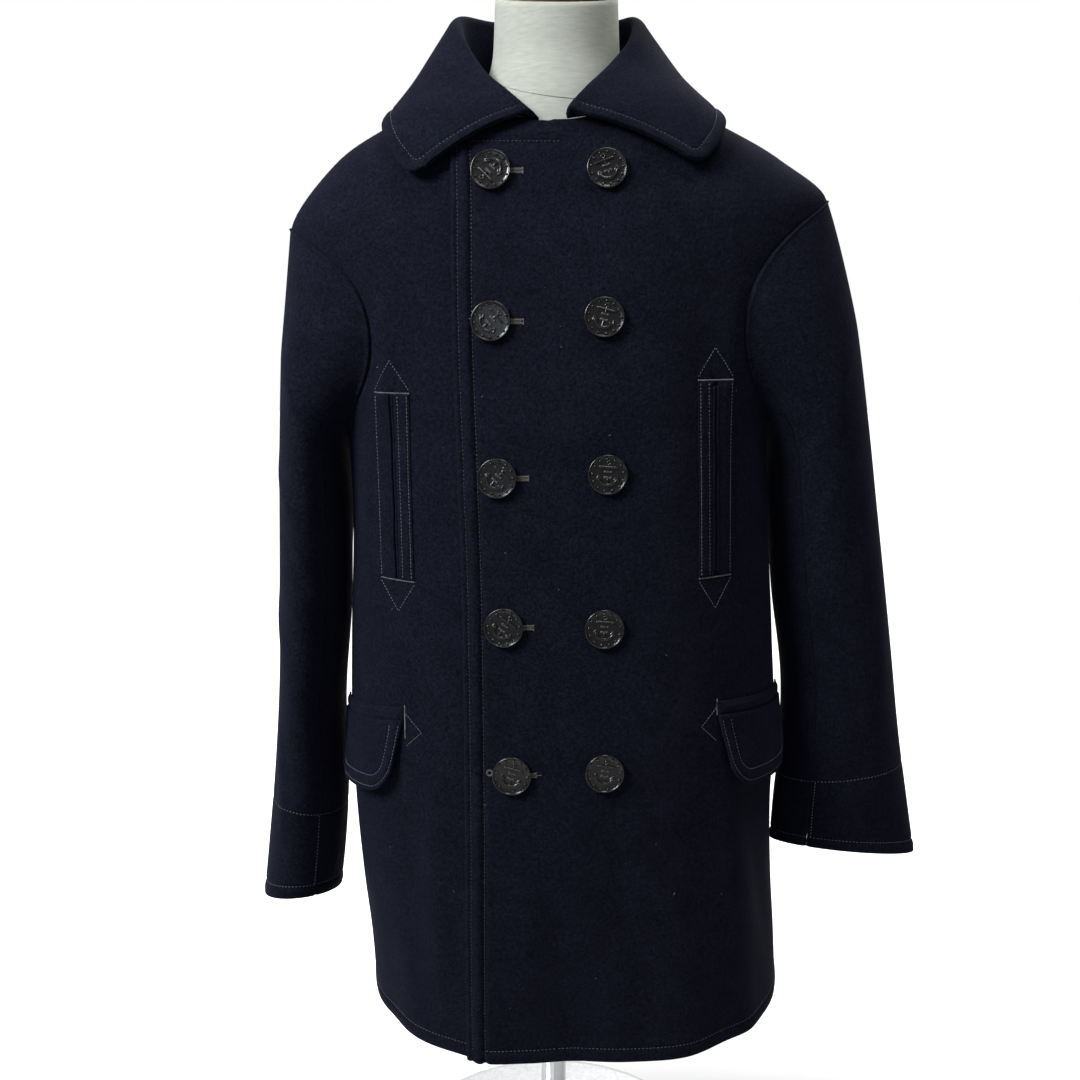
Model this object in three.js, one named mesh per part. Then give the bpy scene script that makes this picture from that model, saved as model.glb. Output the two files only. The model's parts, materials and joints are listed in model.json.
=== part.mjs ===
// A double-breasted pea coat buttoned on a limbless dress form with a pole and a round base.
// Millimetres, +Z up. The origin is on the floor, on the pole's axis. The coat faces -Y, and +X is the wearer's left.
// Every cloth piece is a closed wall between an outer face and an inner face, worked out from section tables.
import * as THREE from "three";

// ---- Driving sizes -------------------------------------------------------------------------------------------

const CLOTH = 3; // wall of one layer of melton wool
const COLLAR_CLOTH = 4.4; // top collar and under collar sewn together
const NECK_SEAM_RISE = 2.1; // how far the collar starts above the panels
const NECK_SEAM_CLOTH = 2.4; // the collar's wall where it is sewn to the neckline
const SEAM_GAP = 0.4; // between two pieces at a seam
const LAP_GAP = 0.9; // between the two fronts where one lies on the other
const SEAT_GAP = 0.35; // under what is sewn onto a front
const HEM = 250; // height of the hem, as a section level
const UNDERARM = 785;
const SHOULDER_TIP = 965;
const NECK = 1075;
const ARMHOLE_FRONT = 0.48; // how far the armhole cuts into the front and the back, in radians
const ARMHOLE_BACK = 0.42;
const LAP_FULL = 0.66; // the outer front lies on the inner one up to this angle, and is down on the body by the next
const LAP_END = 0.98;
const NECK_EDGE_Z = 1035; // height of the straight top edge where the fronts cross
const SLEEVE_SIDES = 20; // points round a sleeve, counted from the outer line towards the front
const SLEEVE_TURN = (2 * Math.PI) / SLEEVE_SIDES;
const SLEEVE_FRONT_SEAM = 7; // which of those points the seams are on
const SLEEVE_BACK_SEAM = 14;
const SLEEVE_STEPS = 15; // rows along a sleeve
const SLEEVE_ROW_SPREAD = 0.55; // 0 crowds a sleeve's rows towards the armhole, 1 spaces them evenly
const SLEEVE_RADIUS = 70;
const ARMHOLE_RADIUS = 85;
const VENT_RADIUS = 57; // the round corners at the foot of the side seams
const BUTTON_RADIUS = 16.25;
const BUTTON_THICKNESS = 4.2;
const SIDE = Math.PI / 2;
const SEAM_ANGLE = SEAM_GAP / 2 / 190; // half a seam's gap, as an angle round the body
const SIDE_SHARES = [0, 0.3, 0.55, 0.74, 0.87, 0.95, 1]; // lines from a front's edge to the side seam
const BACK_SHARES = [0, 0.02, 0.06, 0.11, 0.18, 0.27, 0.38, 0.5]; // lines from a side seam to the back's middle
const EDGE_TABLES_TOP = 1040; // the height where the fronts' edge tables end
const [LAP_LINE, UNDER_LINE, FRONT_LINES] = [6, 12, 18]; // lines down the fronts, see frontLine

// ---- Section tables ------------------------------------------------------------------------------------------

// The coat's body: one row for each section, from the hem to the neck. frontZ, sideZ and backZ are its heights,
// right and left its half-widths on the wearer's right and left, front and back its depths, square its
// squareness (2 is an ellipse), and tilt how much it rises per millimetre towards +X.
const BODY = table(
  ["level", "frontZ", "sideZ", "backZ", "right", "left", "front", "back", "square", "tilt"],
  [HEM, 249, 251, 253, 174, 216, 158, 134, 2.5, 0],
  [310, 310, 310, 310, 177, 212, 158, 133, 2.5, 0],
  [370, 370, 370, 370, 183, 207, 157, 132, 2.5, 0],
  [440, 440, 440, 440, 188, 204, 154, 130, 2.5, 0],
  [520, 520, 520, 520, 190, 205, 149, 128, 2.5, 0],
  [600, 600, 600, 600, 188, 200, 141, 127, 2.45, 0],
  [700, 700, 700, 700, 184, 193, 131, 127, 2.4, 0],
  [UNDERARM, 782, 785, 785, 187, 190, 122, 128, 2.4, 0.02],
  [850, 842, 850, 848, 199, 201, 114, 125, 2.35, 0.03],
  [910, 893, 910, 905, 218, 221, 106, 119, 2.3, 0.04],
  [SHOULDER_TIP, 938, 970, 950, 231, 235, 98, 110, 2.25, 0.05],
  [1000, 972, 1014, 1000, 191, 193, 90, 100, 2.2, 0.01],
  [1030, 1000, 1040, 1036, 150, 150, 85, 91, 2.15, 0],
  [1055, 1020, 1058, 1064, 110, 110, 81, 81, 2.1, 0],
  [NECK, 1036, 1074, 1088, 77, 77, 78, 70, 2.05, 0],
);

// The section levels that the panels' rows are on. Along the armhole they are those of the sleeve's ring.
const ARMHOLE_LEVELS = Array.from({ length: SLEEVE_SIDES / 2 + 1 }, (_, i) =>
  armholeLevel(Math.PI - i * SLEEVE_TURN),
);
const SKIRT_LEVELS = [HEM, 262, 280, 310, 370, 440, 520, 600, 690];
const YOKE_LEVELS = [982, 1000, 1020, 1040, 1060, NECK];
const PANEL_LEVELS = [...SKIRT_LEVELS, ...ARMHOLE_LEVELS, ...YOKE_LEVELS];
const VENT_ROWS_TOP = 370; // the rows below this one follow the hem's round corners
const ROW_BELOW_TOP = 1000; // the rows above this one share out the way to the panel's top edge

// Soft folds of the body cloth, the same for all its panels: a line from one height to another at an angle round
// the body (0 is the front's middle, positive is the wearer's left), its half-width as an angle, and its height.
const FOLDS = table(
  ["fromZ", "fromAngle", "toZ", "toAngle", "spread", "rise"],
  [200, -0.36, 470, -0.42, 0.12, 4],
  [200, 0.1, 420, 0.06, 0.2, -5],
  [200, 0.62, 400, 0.72, 0.16, 4],
  [230, 1.0, 500, 0.84, 0.09, 4],
  [200, -1.02, 470, -0.9, 0.15, -4],
  [200, 2.6, 620, 2.72, 0.16, 5],
  [200, -2.6, 640, -2.74, 0.16, 5],
  [200, 3.12, 560, 3.14, 0.2, -4],
);

// Each sleeve: one row for each section, from the armhole (share 0) to the cuff (share 1). outerX and innerX are
// distances from the body's middle, outerZ and innerZ heights, midY and depth its middle and half-depth, and rise
// is how far its front edge is raised and its back edge lowered, where the arm swings forward.
const SLEEVE_COLUMNS = ["share", "outerX", "outerZ", "innerX", "innerZ", "midY", "depth", "rise"];
const SLEEVES = {
  right: table(
    SLEEVE_COLUMNS,
    [0, 232, 957, 188, 784, 2, 88, 0],
    [0.09, 237, 915, 191, 762, 2, 86, 0],
    [0.2, 242, 855, 189, 732, 2, 84, 0],
    [0.34, 247, 775, 189, 687, 1, 82, 0],
    [0.5, 251, 675, 192, 613, -2, 79, 0],
    [0.66, 255, 565, 200, 527, -6, 75, 4],
    [0.8, 263, 473, 199, 451, -10, 69, 9],
    [0.9, 271, 404, 202, 395, -13, 64, 14],
    [1, 279, 338, 208, 341, -16, 59, 18],
  ),
  left: table(
    SLEEVE_COLUMNS,
    [0, 237, 978, 191, 786, 2, 88, 0],
    [0.09, 252, 936, 195, 764, 2, 85, 0],
    [0.2, 266, 875, 194, 735, 2, 80, 0],
    [0.34, 281, 790, 198, 690, 1, 75, 0],
    [0.5, 295, 700, 204, 627, -1, 70, 0],
    [0.66, 312, 590, 215, 549, -4, 62, 1],
    [0.8, 325, 500, 215, 476, -8, 53, 3],
    [0.9, 336, 438, 211, 434, -11, 44, 5],
    [1, 347, 377, 208, 390, -14, 34, 7],
  ),
};

// The collar: one row for each station, from its end on the wearer's right round the back to the other end. angle
// is where it leaves the neckline, roll the top of its stand, and edge the place on the body that its outer edge
// lies over, out above the cloth. fold is the radius of its roll, and bulge how far the fall is arched.
const COLLAR = table(
  ["station", "angle", "rollX", "rollY", "rollZ", "edgeAngle", "edgeLevel", "out", "fold", "bulge"],
  [0, -0.2, -22, -83.5, 1042.5, -0.97, 996, 10, 4, 5],
  [1, -0.5, -40, -71, 1057, -1.11, 1010, 8, 4.5, 4],
  [2, -0.95, -60, -46, 1076, -1.31, 1028, 6.5, 5, 4],
  [3, -1.4, -78, -14, 1108, -1.53, 1036, 7, 5, 2],
  [4, -1.95, -80, 26, 1132, -1.87, 1038, 8, 5, 2],
  [5, -2.5, -52, 62, 1136, -2.35, 1038, 10, 5, 3],
  [6, -3.14, -4, 75, 1137, -3.11, 1038, 10, 5, 3],
  [7, -3.78, 45, 62, 1136, -3.89, 1040, 10, 5, 3],
  [8, -4.33, 66, 28, 1132, -4.35, 1040, 8, 5, 2],
  [9, -4.88, 63, -12, 1108, -4.71, 1040, 6.5, 5, 2],
  [10, -5.33, 46, -42, 1083, -4.97, 1032, 6.5, 5, 4],
  [11, -5.78, 26, -66, 1062, -5.17, 1016, 8, 4.5, 4],
  [12, -6.18, 9, -83, 1043, -5.31, 1002, 10, 4, 5],
);

// The dress form under the coat: its distance inside the coat's wall at the front and back, and at the sides.
const FORM = table(
  ["level", "inside", "sideInside"],
  [480, 24, 30],
  [600, 16, 26],
  [700, 15, 26],
  [UNDERARM, 13, 30],
  [850, 11, 38],
  [910, 7, 44],
  [SHOULDER_TIP, 3, 40],
  [1000, 1.6, 12],
  [1030, 2.4, 2.4],
  [1055, 2.8, 2.8],
  [NECK, 2.8, 2.8],
);

// The form's neck above the coat's neckline: height of each ring, its half-width, its front and its back.
const FORM_NECK = table(
  ["height", "half", "front", "back", "lean"],
  [1078, 60, 66, 60, 14],
  [1098, 54, 57, 57, 4],
  [1147, 52, 55, 55, 16],
);
const CAP_RADIUS = 55;
const CAP_PROFILE = [[0, 0], [50, 0], [53, 3], [52, 8], [42, 11], [0, 12]];
const FORM_LEVELS = [
  ...[600, 700, UNDERARM, 850, 910, 945, SHOULDER_TIP],
  ...[983, 1000, 1015, 1030, 1043, 1055, 1066, NECK],
];

// Buttons, by column: distance from the middle and height of each, from the top down.
const BUTTONS = {
  lap: [[-53, 997], [-53, 879], [-48, 755], [-43, 634], [-37, 511]],
  plain: [[39, 998], [37, 882], [40, 758], [38, 633], [39, 513]],
};

// The edge of each front from the hem to the neckline, as distance from the middle towards the other side.
const LAP_EDGE = table(
  ["height", "x"],
  [HEM, -75],
  [400, -75],
  [634, -76],
  [755, -79],
  [881, -83],
  [990, -84],
  [EDGE_TABLES_TOP, -85],
);
const UNDER_EDGE = table(["height", "x"], [HEM, 84], [600, 82], [880, 66], [1000, 48], [EDGE_TABLES_TOP, 40]);

// Vertical hand pockets on the fronts: the opening's ends, and the widths of its two welts and of the slit.
const HAND_POCKETS = {
  right: { topX: -137, topZ: 820, bottomX: -134, bottomZ: 667 },
  left: { topX: 130, topZ: 831, bottomX: 132, bottomZ: 671 },
};
const WELT_WIDTH = 12.5;
const SLIT_WIDTH = 5;
const WELT_CLOTH = 1.6;

// Flap pockets at the hips: the flap's upper corners, as angles round the body and heights.
const FLAP_POCKETS = {
  right: { innerAngle: -0.825, innerZ: 546, outerAngle: -1.4, outerZ: 530 },
  left: { innerAngle: 0.84, innerZ: 552, outerAngle: 1.4, outerZ: 543 },
};
const BAND_HEIGHT = 12;
const BAND_CLOTH = 3.2;
const FLAP_DROP = 60;
const FLAP_CORNER = 26;
const FLAP_CORNER_TURN = 0.97; // how much of the corner's quarter circle is drawn
const FLAP_TAPER = 0.07; // how far each end of a flap is drawn in at its lower edge, as a share of its length
const FLAP_CURVE = 1.08; // a flap's length round the body, for each millimetre straight across
const FLAP_CLOTH = 4;
const FLAP_LIFT = 6; // how far the flap's lower edge stands off the front

// The stand.
const FOLD_FADE = 0.55; // the share of a fold's height where it starts to fade
const STAND_END = 0.26; // the collar's stand ends and its roll starts at this share across it
const FOLD_END = 0.44; // its roll ends and its fall starts
const COLLAR_LINES = [0, 0.13, STAND_END, 0.305, 0.35, 0.395, FOLD_END, 0.58, 0.72, 0.86, 1];
const COLLAR_STEPS = 26;
const FORM_COLUMNS = 28;
const FORM_BOTTOM = 480;
const BASE_RADIUS = 180;
const BASE_THICKNESS = 10;
const POLE_RADIUS = 12.5;
const MESH_GAP = 0.3; // left between hard pieces that touch

// ---- Small helpers -------------------------------------------------------------------------------------------

// Rows of numbers as objects with the named columns.
function table(columns, ...rows) {
  return rows.map((row) => Object.fromEntries(columns.map((name, i) => [name, row[i]])));
}

// The row at a value of the first column, with every column on a smooth curve through the rows.
function rowAt(rows, value) {
  const key = Object.keys(rows[0])[0];
  const last = rows.length - 1;
  let i = 0;
  while (i < last - 1 && value > rows[i + 1][key]) i += 1;
  const [a, b] = [rows[i], rows[i + 1]];
  const [before, after] = [rows[Math.max(i - 1, 0)], rows[Math.min(i + 2, last)]];
  const span = b[key] - a[key];
  const t = THREE.MathUtils.clamp((value - a[key]) / span, 0, 1);
  const found = {};
  for (const name of Object.keys(a)) {
    const slopeA = ((b[name] - before[name]) / (b[key] - before[key])) * span;
    const slopeB = ((after[name] - a[name]) / (after[key] - a[key])) * span;
    found[name] =
      (1 + 2 * t) * (1 - t) ** 2 * a[name] +
      t * (1 - t) ** 2 * slopeA +
      t * t * (3 - 2 * t) * b[name] +
      t * t * (t - 1) * slopeB;
  }
  return found;
}

function smooth(from, to, value) {
  const t = THREE.MathUtils.clamp((value - from) / (to - from), 0, 1);
  return t * t * (3 - 2 * t);
}

function mix(a, b, t) {
  return a + (b - a) * t;
}

function turnTo(angle) {
  return Math.atan2(Math.sin(angle), Math.cos(angle));
}

// The input where a rising or falling function reaches a target.
function solve(f, low, high, target) {
  const rising = f(high) > f(low);
  for (let i = 0; i < 40; i += 1) {
    const middle = (low + high) / 2;
    if (f(middle) < target === rising) low = middle;
    else high = middle;
  }
  return (low + high) / 2;
}

// The unit normal of a surface given by two numbers, on the side where it should point.
function normalOf(surface, u, v, du, dv) {
  const alongU = surface(u + du, v).sub(surface(u - du, v));
  const alongV = surface(u, v + dv).sub(surface(u, v - dv));
  return alongU.cross(alongV).normalize();
}

// ---- Solids from grids of points -----------------------------------------------------------------------------

// A closed wall between an outer grid and an inner grid, which have the same rows and columns.
function wall(outer, inner) {
  const rows = outer.length;
  const columns = outer[0].length;
  const points = [...outer.flat(), ...inner.flat()];
  const at = (side, r, c) => side * rows * columns + r * columns + c;
  const faces = [];
  const quad = (a, b, c, d) => faces.push(a, b, c, a, c, d);
  for (let r = 0; r < rows - 1; r += 1) {
    for (let c = 0; c < columns - 1; c += 1) {
      quad(at(0, r, c), at(0, r, c + 1), at(0, r + 1, c + 1), at(0, r + 1, c));
      quad(at(1, r, c), at(1, r + 1, c), at(1, r + 1, c + 1), at(1, r, c + 1));
    }
    quad(at(0, r, 0), at(0, r + 1, 0), at(1, r + 1, 0), at(1, r, 0));
    quad(at(0, r, columns - 1), at(1, r, columns - 1), at(1, r + 1, columns - 1), at(0, r + 1, columns - 1));
  }
  for (let c = 0; c < columns - 1; c += 1) {
    quad(at(0, 0, c), at(1, 0, c), at(1, 0, c + 1), at(0, 0, c + 1));
    quad(at(0, rows - 1, c), at(0, rows - 1, c + 1), at(1, rows - 1, c + 1), at(1, rows - 1, c));
  }
  return geometryOf(points, faces);
}

// A solid through closed rings, with flat ends.
function stack(rings) {
  const columns = rings[0].length;
  const points = rings.flat();
  const faces = [];
  for (let r = 0; r < rings.length - 1; r += 1) {
    for (let c = 0; c < columns; c += 1) {
      const [a, b] = [r * columns + c, r * columns + ((c + 1) % columns)];
      faces.push(a, b, b + columns, a, b + columns, a + columns);
    }
  }
  for (const [r, turned] of [[0, true], [rings.length - 1, false]]) {
    const middle = new THREE.Vector3();
    rings[r].forEach((p) => middle.addScaledVector(p, 1 / columns));
    const hub = points.push(middle) - 1;
    for (let c = 0; c < columns; c += 1) {
      const [a, b] = [r * columns + c, r * columns + ((c + 1) % columns)];
      faces.push(hub, turned ? b : a, turned ? a : b);
    }
  }
  return geometryOf(points, faces);
}

// The geometry of points and faces, turned so that its faces point out.
function geometryOf(points, faces) {
  let volume = 0;
  for (let i = 0; i < faces.length; i += 3) {
    volume += points[faces[i]].dot(points[faces[i + 1]].clone().cross(points[faces[i + 2]]));
  }
  const index = volume > 0 ? faces : faces.toReversed();
  const geometry = new THREE.BufferGeometry().setFromPoints(points);
  geometry.setIndex(index);
  geometry.computeVertexNormals();
  return geometry;
}

// A grid of values of f(rowShare, columnShare).
function grid(rows, columns, f) {
  return Array.from({ length: rows + 1 }, (_, r) =>
    Array.from({ length: columns + 1 }, (_, c) => f(r / rows, c / columns)),
  );
}

// ---- The coat's body -----------------------------------------------------------------------------------------

function foldHeight(angle, z) {
  let height = 0;
  for (const fold of FOLDS) {
    const share = THREE.MathUtils.clamp((z - fold.fromZ) / (fold.toZ - fold.fromZ), 0, 1);
    const off = turnTo(angle - mix(fold.fromAngle, fold.toAngle, share)) / fold.spread;
    height += fold.rise * (1 - smooth(FOLD_FADE, 1, share)) * Math.exp(-off * off);
  }
  return height;
}

// A point of the body's outer face before its folds, at an angle round it and a section level.
function bodySurface(angle, level) {
  const s = rowAt(BODY, level);
  const [sin, cos] = [Math.sin(angle), Math.cos(angle)];
  const wide = Math.abs(sin) / (sin < 0 ? s.right : s.left);
  const deep = Math.abs(cos) / (cos > 0 ? s.front : s.back);
  const radius = (wide ** s.square + deep ** s.square) ** (-1 / s.square);
  const x = radius * sin;
  const lean = Math.abs(cos) ** 1.5;
  const z = s.sideZ + ((cos > 0 ? s.frontZ : s.backZ) - s.sideZ) * lean + s.tilt * x;
  return new THREE.Vector3(x, -radius * cos, z);
}

function bodyNormal(angle, level) {
  return normalOf(bodySurface, angle, level, 0.004, 1);
}

// A point at a distance outside the body's outer face, folds included.
function bodyPoint(angle, level, outside = 0) {
  const p = bodySurface(angle, level);
  return p.addScaledVector(bodyNormal(angle, level), outside + foldHeight(angle, p.z));
}

// The angle and level of the front's point at a distance from the middle and a height.
function placeOnFront(x, z) {
  let [angle, level] = [x / 150, z];
  for (let i = 0; i < 30; i += 1) {
    level = solve((l) => bodySurface(angle, l).z, HEM - 20, NECK, z);
    angle = solve((a) => bodySurface(a, level).x, -SIDE, SIDE, x);
  }
  return [angle, level];
}

// How far the outer front is lifted by the front under it.
function lapLift(angle) {
  return (CLOTH + LAP_GAP) * (1 - smooth(LAP_FULL, LAP_END, angle));
}

// How far the armhole reaches from the side towards the front or back at a level.
function armholeLevel(turn) {
  return mix(UNDERARM, SHOULDER_TIP, (1 + Math.cos(turn)) / 2);
}

function armholeCut(level, reach) {
  const share = (2 * (level - UNDERARM)) / (SHOULDER_TIP - UNDERARM) - 1;
  return Math.abs(share) < 1 ? reach * Math.sqrt(1 - share * share) : 0;
}

// The angle where a section of the front reaches a distance from the middle.
function angleAt(x, level) {
  return solve((angle) => bodySurface(angle, level).x, -SIDE, SIDE, x);
}

// The level of a front's top edge: the neckline, and past the middle a straight edge at one height.
function frontTop(angle, hand) {
  if (hand * angle >= 0) return NECK;
  const height = hand > 0 ? NECK_EDGE_Z : NECK_EDGE_Z - 6;
  return solve((level) => bodySurface(angle, level).z, SHOULDER_TIP, NECK + 12, height);
}

// The angle of a line that runs down both fronts. Line 0 is the wearer's right side seam or armhole, LAP_LINE the
// outer front's edge, UNDER_LINE the inner front's edge, and FRONT_LINES the wearer's left side seam or armhole.
function frontLine(line, level) {
  const side = SIDE - SEAM_ANGLE - armholeCut(level, ARMHOLE_FRONT);
  const height = Math.min(level, EDGE_TABLES_TOP);
  const lap = angleAt(rowAt(LAP_EDGE, height).x, level);
  const under = angleAt(rowAt(UNDER_EDGE, height).x, level);
  if (line <= LAP_LINE) return mix(lap, -side, SIDE_SHARES[LAP_LINE - line]);
  if (line <= UNDER_LINE) return mix(lap, under, (line - LAP_LINE) / (UNDER_LINE - LAP_LINE));
  return mix(under, side, SIDE_SHARES[line - UNDER_LINE]);
}

// A row's level raised by the round corner at the foot of the side seam, where the row is near the hem.
function overVent(angle, level) {
  const near = bodySurface(angle, HEM).distanceTo(bodySurface(Math.sign(angle) * SIDE, HEM));
  const into = Math.max(1 - near / VENT_RADIUS, 0);
  const rise = VENT_RADIUS * (1 - Math.sqrt(1 - into * into));
  const reach = VENT_ROWS_TOP - HEM;
  return level < VENT_ROWS_TOP ? mix(level + rise, level, (level - HEM) / reach) : level;
}

// One front panel between two of those lines. hand is 1 on the wearer's left and -1 on the right.
function frontPanel(hand, fromLine, toLine, lift) {
  const face = (outside) =>
    PANEL_LEVELS.map((level) =>
      Array.from({ length: toLine - fromLine + 1 }, (_, c) => {
        const guess = frontLine(fromLine + c, Math.min(level, EDGE_TABLES_TOP));
        const top = frontTop(guess, hand);
        const above = Math.max(level - ROW_BELOW_TOP, 0) / (NECK - ROW_BELOW_TOP);
        const own = above > 0 ? mix(ROW_BELOW_TOP, top, above) : level;
        const angle = frontLine(fromLine + c, own);
        return bodyPoint(angle, overVent(angle, own), outside + lift(angle));
      }),
    );
  return wall(face(0), face(-CLOTH));
}

function backPanel() {
  const columns = 2 * (BACK_SHARES.length - 1);
  const face = (outside) =>
    PANEL_LEVELS.map((level) => {
      const from = SIDE + SEAM_ANGLE + armholeCut(level, ARMHOLE_BACK);
      return Array.from({ length: columns + 1 }, (_, c) => {
        const half = BACK_SHARES[Math.min(c, columns - c)];
        const angle = mix(from, 2 * Math.PI - from, c < columns / 2 ? half : 1 - half);
        return bodyPoint(angle, overVent(turnTo(angle), level), outside);
      });
    });
  return wall(face(0), face(-CLOTH));
}

// ---- Sleeves -------------------------------------------------------------------------------------------------

// The armhole's edge at an angle round it: 0 at the shoulder tip, then the front, the underarm and the back.
function armholeEdge(hand, turn, inward = 0) {
  const middle = (UNDERARM + SHOULDER_TIP) / 2;
  const level = mix(armholeLevel(turn), middle, inward);
  const reach = Math.sin(turn) > 0 ? ARMHOLE_FRONT : ARMHOLE_BACK;
  const angle = SIDE - reach * Math.sin(turn) * (1 - inward);
  return bodyPoint(hand * angle, level, SEAM_GAP + 0.1);
}

// A point of a sleeve's outer face.
function sleeveSurface(hand, rows, turn, share) {
  const s = rowAt(rows, share);
  const [out, y] = [Math.cos(turn), -Math.sin(turn)];
  const x = mix(s.innerX, s.outerX, (1 + out) / 2);
  const z = mix(s.innerZ, s.outerZ, (1 + out) / 2);
  const section = new THREE.Vector3(hand * x, s.midY + y * s.depth, z - y * s.rise);
  const edge = armholeEdge(hand, turn);
  return edge.lerp(section, smooth(0, 0.2, share));
}

// One of a sleeve's two pieces, between two angles round it.
function sleevePiece(hand, rows, fromPoint, toPoint) {
  const surface = (turn, share) => sleeveSurface(hand, rows, turn, share);
  const seam = SEAM_GAP / 2 / SLEEVE_RADIUS;
  const columns = toPoint - fromPoint;
  const turnAt = (u) => mix(fromPoint * SLEEVE_TURN + seam, toPoint * SLEEVE_TURN - seam, u);
  const shareAt = (v) => mix(v * v, v, SLEEVE_ROW_SPREAD);
  const outer = grid(SLEEVE_STEPS, columns, (v, u) => surface(turnAt(u), shareAt(v)));
  const inner = grid(SLEEVE_STEPS, columns, (v, u) => {
    const [turn, share] = [turnAt(u), shareAt(v)];
    if (v === 0) return armholeEdge(hand, turn, CLOTH / ARMHOLE_RADIUS);
    const normal = normalOf(surface, turn, Math.max(share, 0.012), 0.02, 0.008).multiplyScalar(hand);
    return surface(turn, share).addScaledVector(normal, -CLOTH);
  });
  return wall(outer, inner);
}

// ---- Collar --------------------------------------------------------------------------------------------------

// A point of the collar's middle face: station along it, and share across it from the neckline to its outer edge.
function collarMiddle(station, across) {
  const s = rowAt(COLLAR, station);
  const neck = bodyPoint(s.angle, NECK, -CLOTH / 2 + (turnTo(s.angle) > 0 ? lapLift(turnTo(s.angle)) : 0));
  neck.z += NECK_SEAM_RISE;
  const roll = new THREE.Vector3(s.rollX, s.rollY, s.rollZ);
  const edge = bodyPoint(s.edgeAngle, s.edgeLevel, s.out);
  const out = new THREE.Vector3(edge.x - roll.x, edge.y - roll.y, 0).normalize();
  const over = roll.clone().addScaledVector(out, 2 * s.fold);
  if (across <= STAND_END) return neck.lerp(roll, across / STAND_END);
  const up = roll.clone().sub(neck).normalize();
  const down = edge.clone().sub(over).normalize();
  if (across < FOLD_END) {
    const t = (across - STAND_END) / (FOLD_END - STAND_END);
    const reach = (s.fold * 4) / 3;
    return new THREE.CubicBezierCurve3(
      roll,
      roll.clone().addScaledVector(up, reach),
      over.clone().addScaledVector(down, -reach),
      over,
    ).getPoint(t);
  }
  const t = (across - FOLD_END) / (1 - FOLD_END);
  const sideways = new THREE.Vector3(-out.y, out.x, 0);
  const arch = down.clone().cross(sideways);
  if (arch.dot(out) < 0) arch.negate();
  return over.lerp(edge, t).addScaledVector(arch, s.bulge * 4 * t * (1 - t));
}

function collar() {
  const last = COLLAR.length - 1;
  const face = (side) =>
    grid(COLLAR_STEPS, COLLAR_LINES.length - 1, (v, u) => {
      const [station, across] = [v * last, COLLAR_LINES[Math.round(u * (COLLAR_LINES.length - 1))]];
      const [s, a] = [THREE.MathUtils.clamp(station, 0.02, last - 0.02), THREE.MathUtils.clamp(across, 0.01, 0.99)];
      const normal = normalOf(collarMiddle, s, a, 0.02, 0.01);
      const thick = mix(NECK_SEAM_CLOTH, COLLAR_CLOTH, smooth(0, 0.22, across));
      return collarMiddle(station, across).addScaledVector(normal, (side * thick) / 2);
    });
  return wall(face(1), face(-1));
}

// ---- What lies on the fronts ---------------------------------------------------------------------------------

// A point outside a front's outer face. The wearer's left front is lifted where it lies on the other.
function onFront(angle, level, outside) {
  return bodyPoint(angle, level, outside + (angle > -0.6 ? lapLift(angle) : 0));
}

// One welt of a hand pocket: a strip beside the slit, on the side given.
function pocketWelt(pocket, side) {
  const point = (v, u, outside) => {
    const x = mix(pocket.bottomX, pocket.topX, v) + side * (SLIT_WIDTH / 2 + u * WELT_WIDTH);
    const [angle, level] = placeOnFront(x, mix(pocket.bottomZ, pocket.topZ, v));
    return onFront(angle, level, outside);
  };
  return wall(
    grid(7, 2, (v, u) => point(v, u, SEAT_GAP + WELT_CLOTH)),
    grid(7, 2, (v, u) => point(v, u, SEAT_GAP)),
  );
}

// A point of a flap pocket at a share along its upper edge and a drop below it.
function pocketPoint(pocket, along, drop, outside) {
  const angle = mix(pocket.innerAngle, pocket.outerAngle, along);
  const level = mix(pocket.innerZ, pocket.outerZ, along) - drop;
  return onFront(angle, level, outside);
}

// The raised band above a flap.
function pocketBand(pocket) {
  return wall(
    grid(2, 7, (v, u) => pocketPoint(pocket, u, -v * BAND_HEIGHT, SEAT_GAP + BAND_CLOTH)),
    grid(2, 7, (v, u) => pocketPoint(pocket, u, -v * BAND_HEIGHT, SEAT_GAP)),
  );
}

// A flap with rounded lower corners, which stands further off the front towards its lower edge.
function pocketFlap(pocket) {
  const inner = pocketPoint(pocket, 0, 0, 0);
  const outer = pocketPoint(pocket, 1, 0, 0);
  const long = inner.distanceTo(outer) * FLAP_CURVE;
  const dropAt = (along) => {
    const fromEnd = Math.min(along, 1 - along) * long;
    const into = THREE.MathUtils.clamp(1 - fromEnd / FLAP_CORNER, 0, 1);
    return FLAP_DROP - FLAP_CORNER * (1 - Math.sqrt(1 - FLAP_CORNER_TURN * into * into));
  };
  const columnAt = (u) => (1 - Math.cos(Math.PI * u)) / 2;
  const face = (outside) =>
    grid(5, 12, (v, u) => {
      const along = mix(0.01, 0.99, columnAt(u));
      const drop = 0.6 + v * dropAt(along);
      const lift = FLAP_LIFT * smooth(0, 1, drop / FLAP_DROP);
      const drawnIn = along + (FLAP_TAPER * (1 - 2 * along) * drop) / FLAP_DROP;
      return pocketPoint(pocket, drawnIn, drop, SEAT_GAP + lift + outside);
    });
  return wall(face(FLAP_CLOTH), face(0));
}

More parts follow.
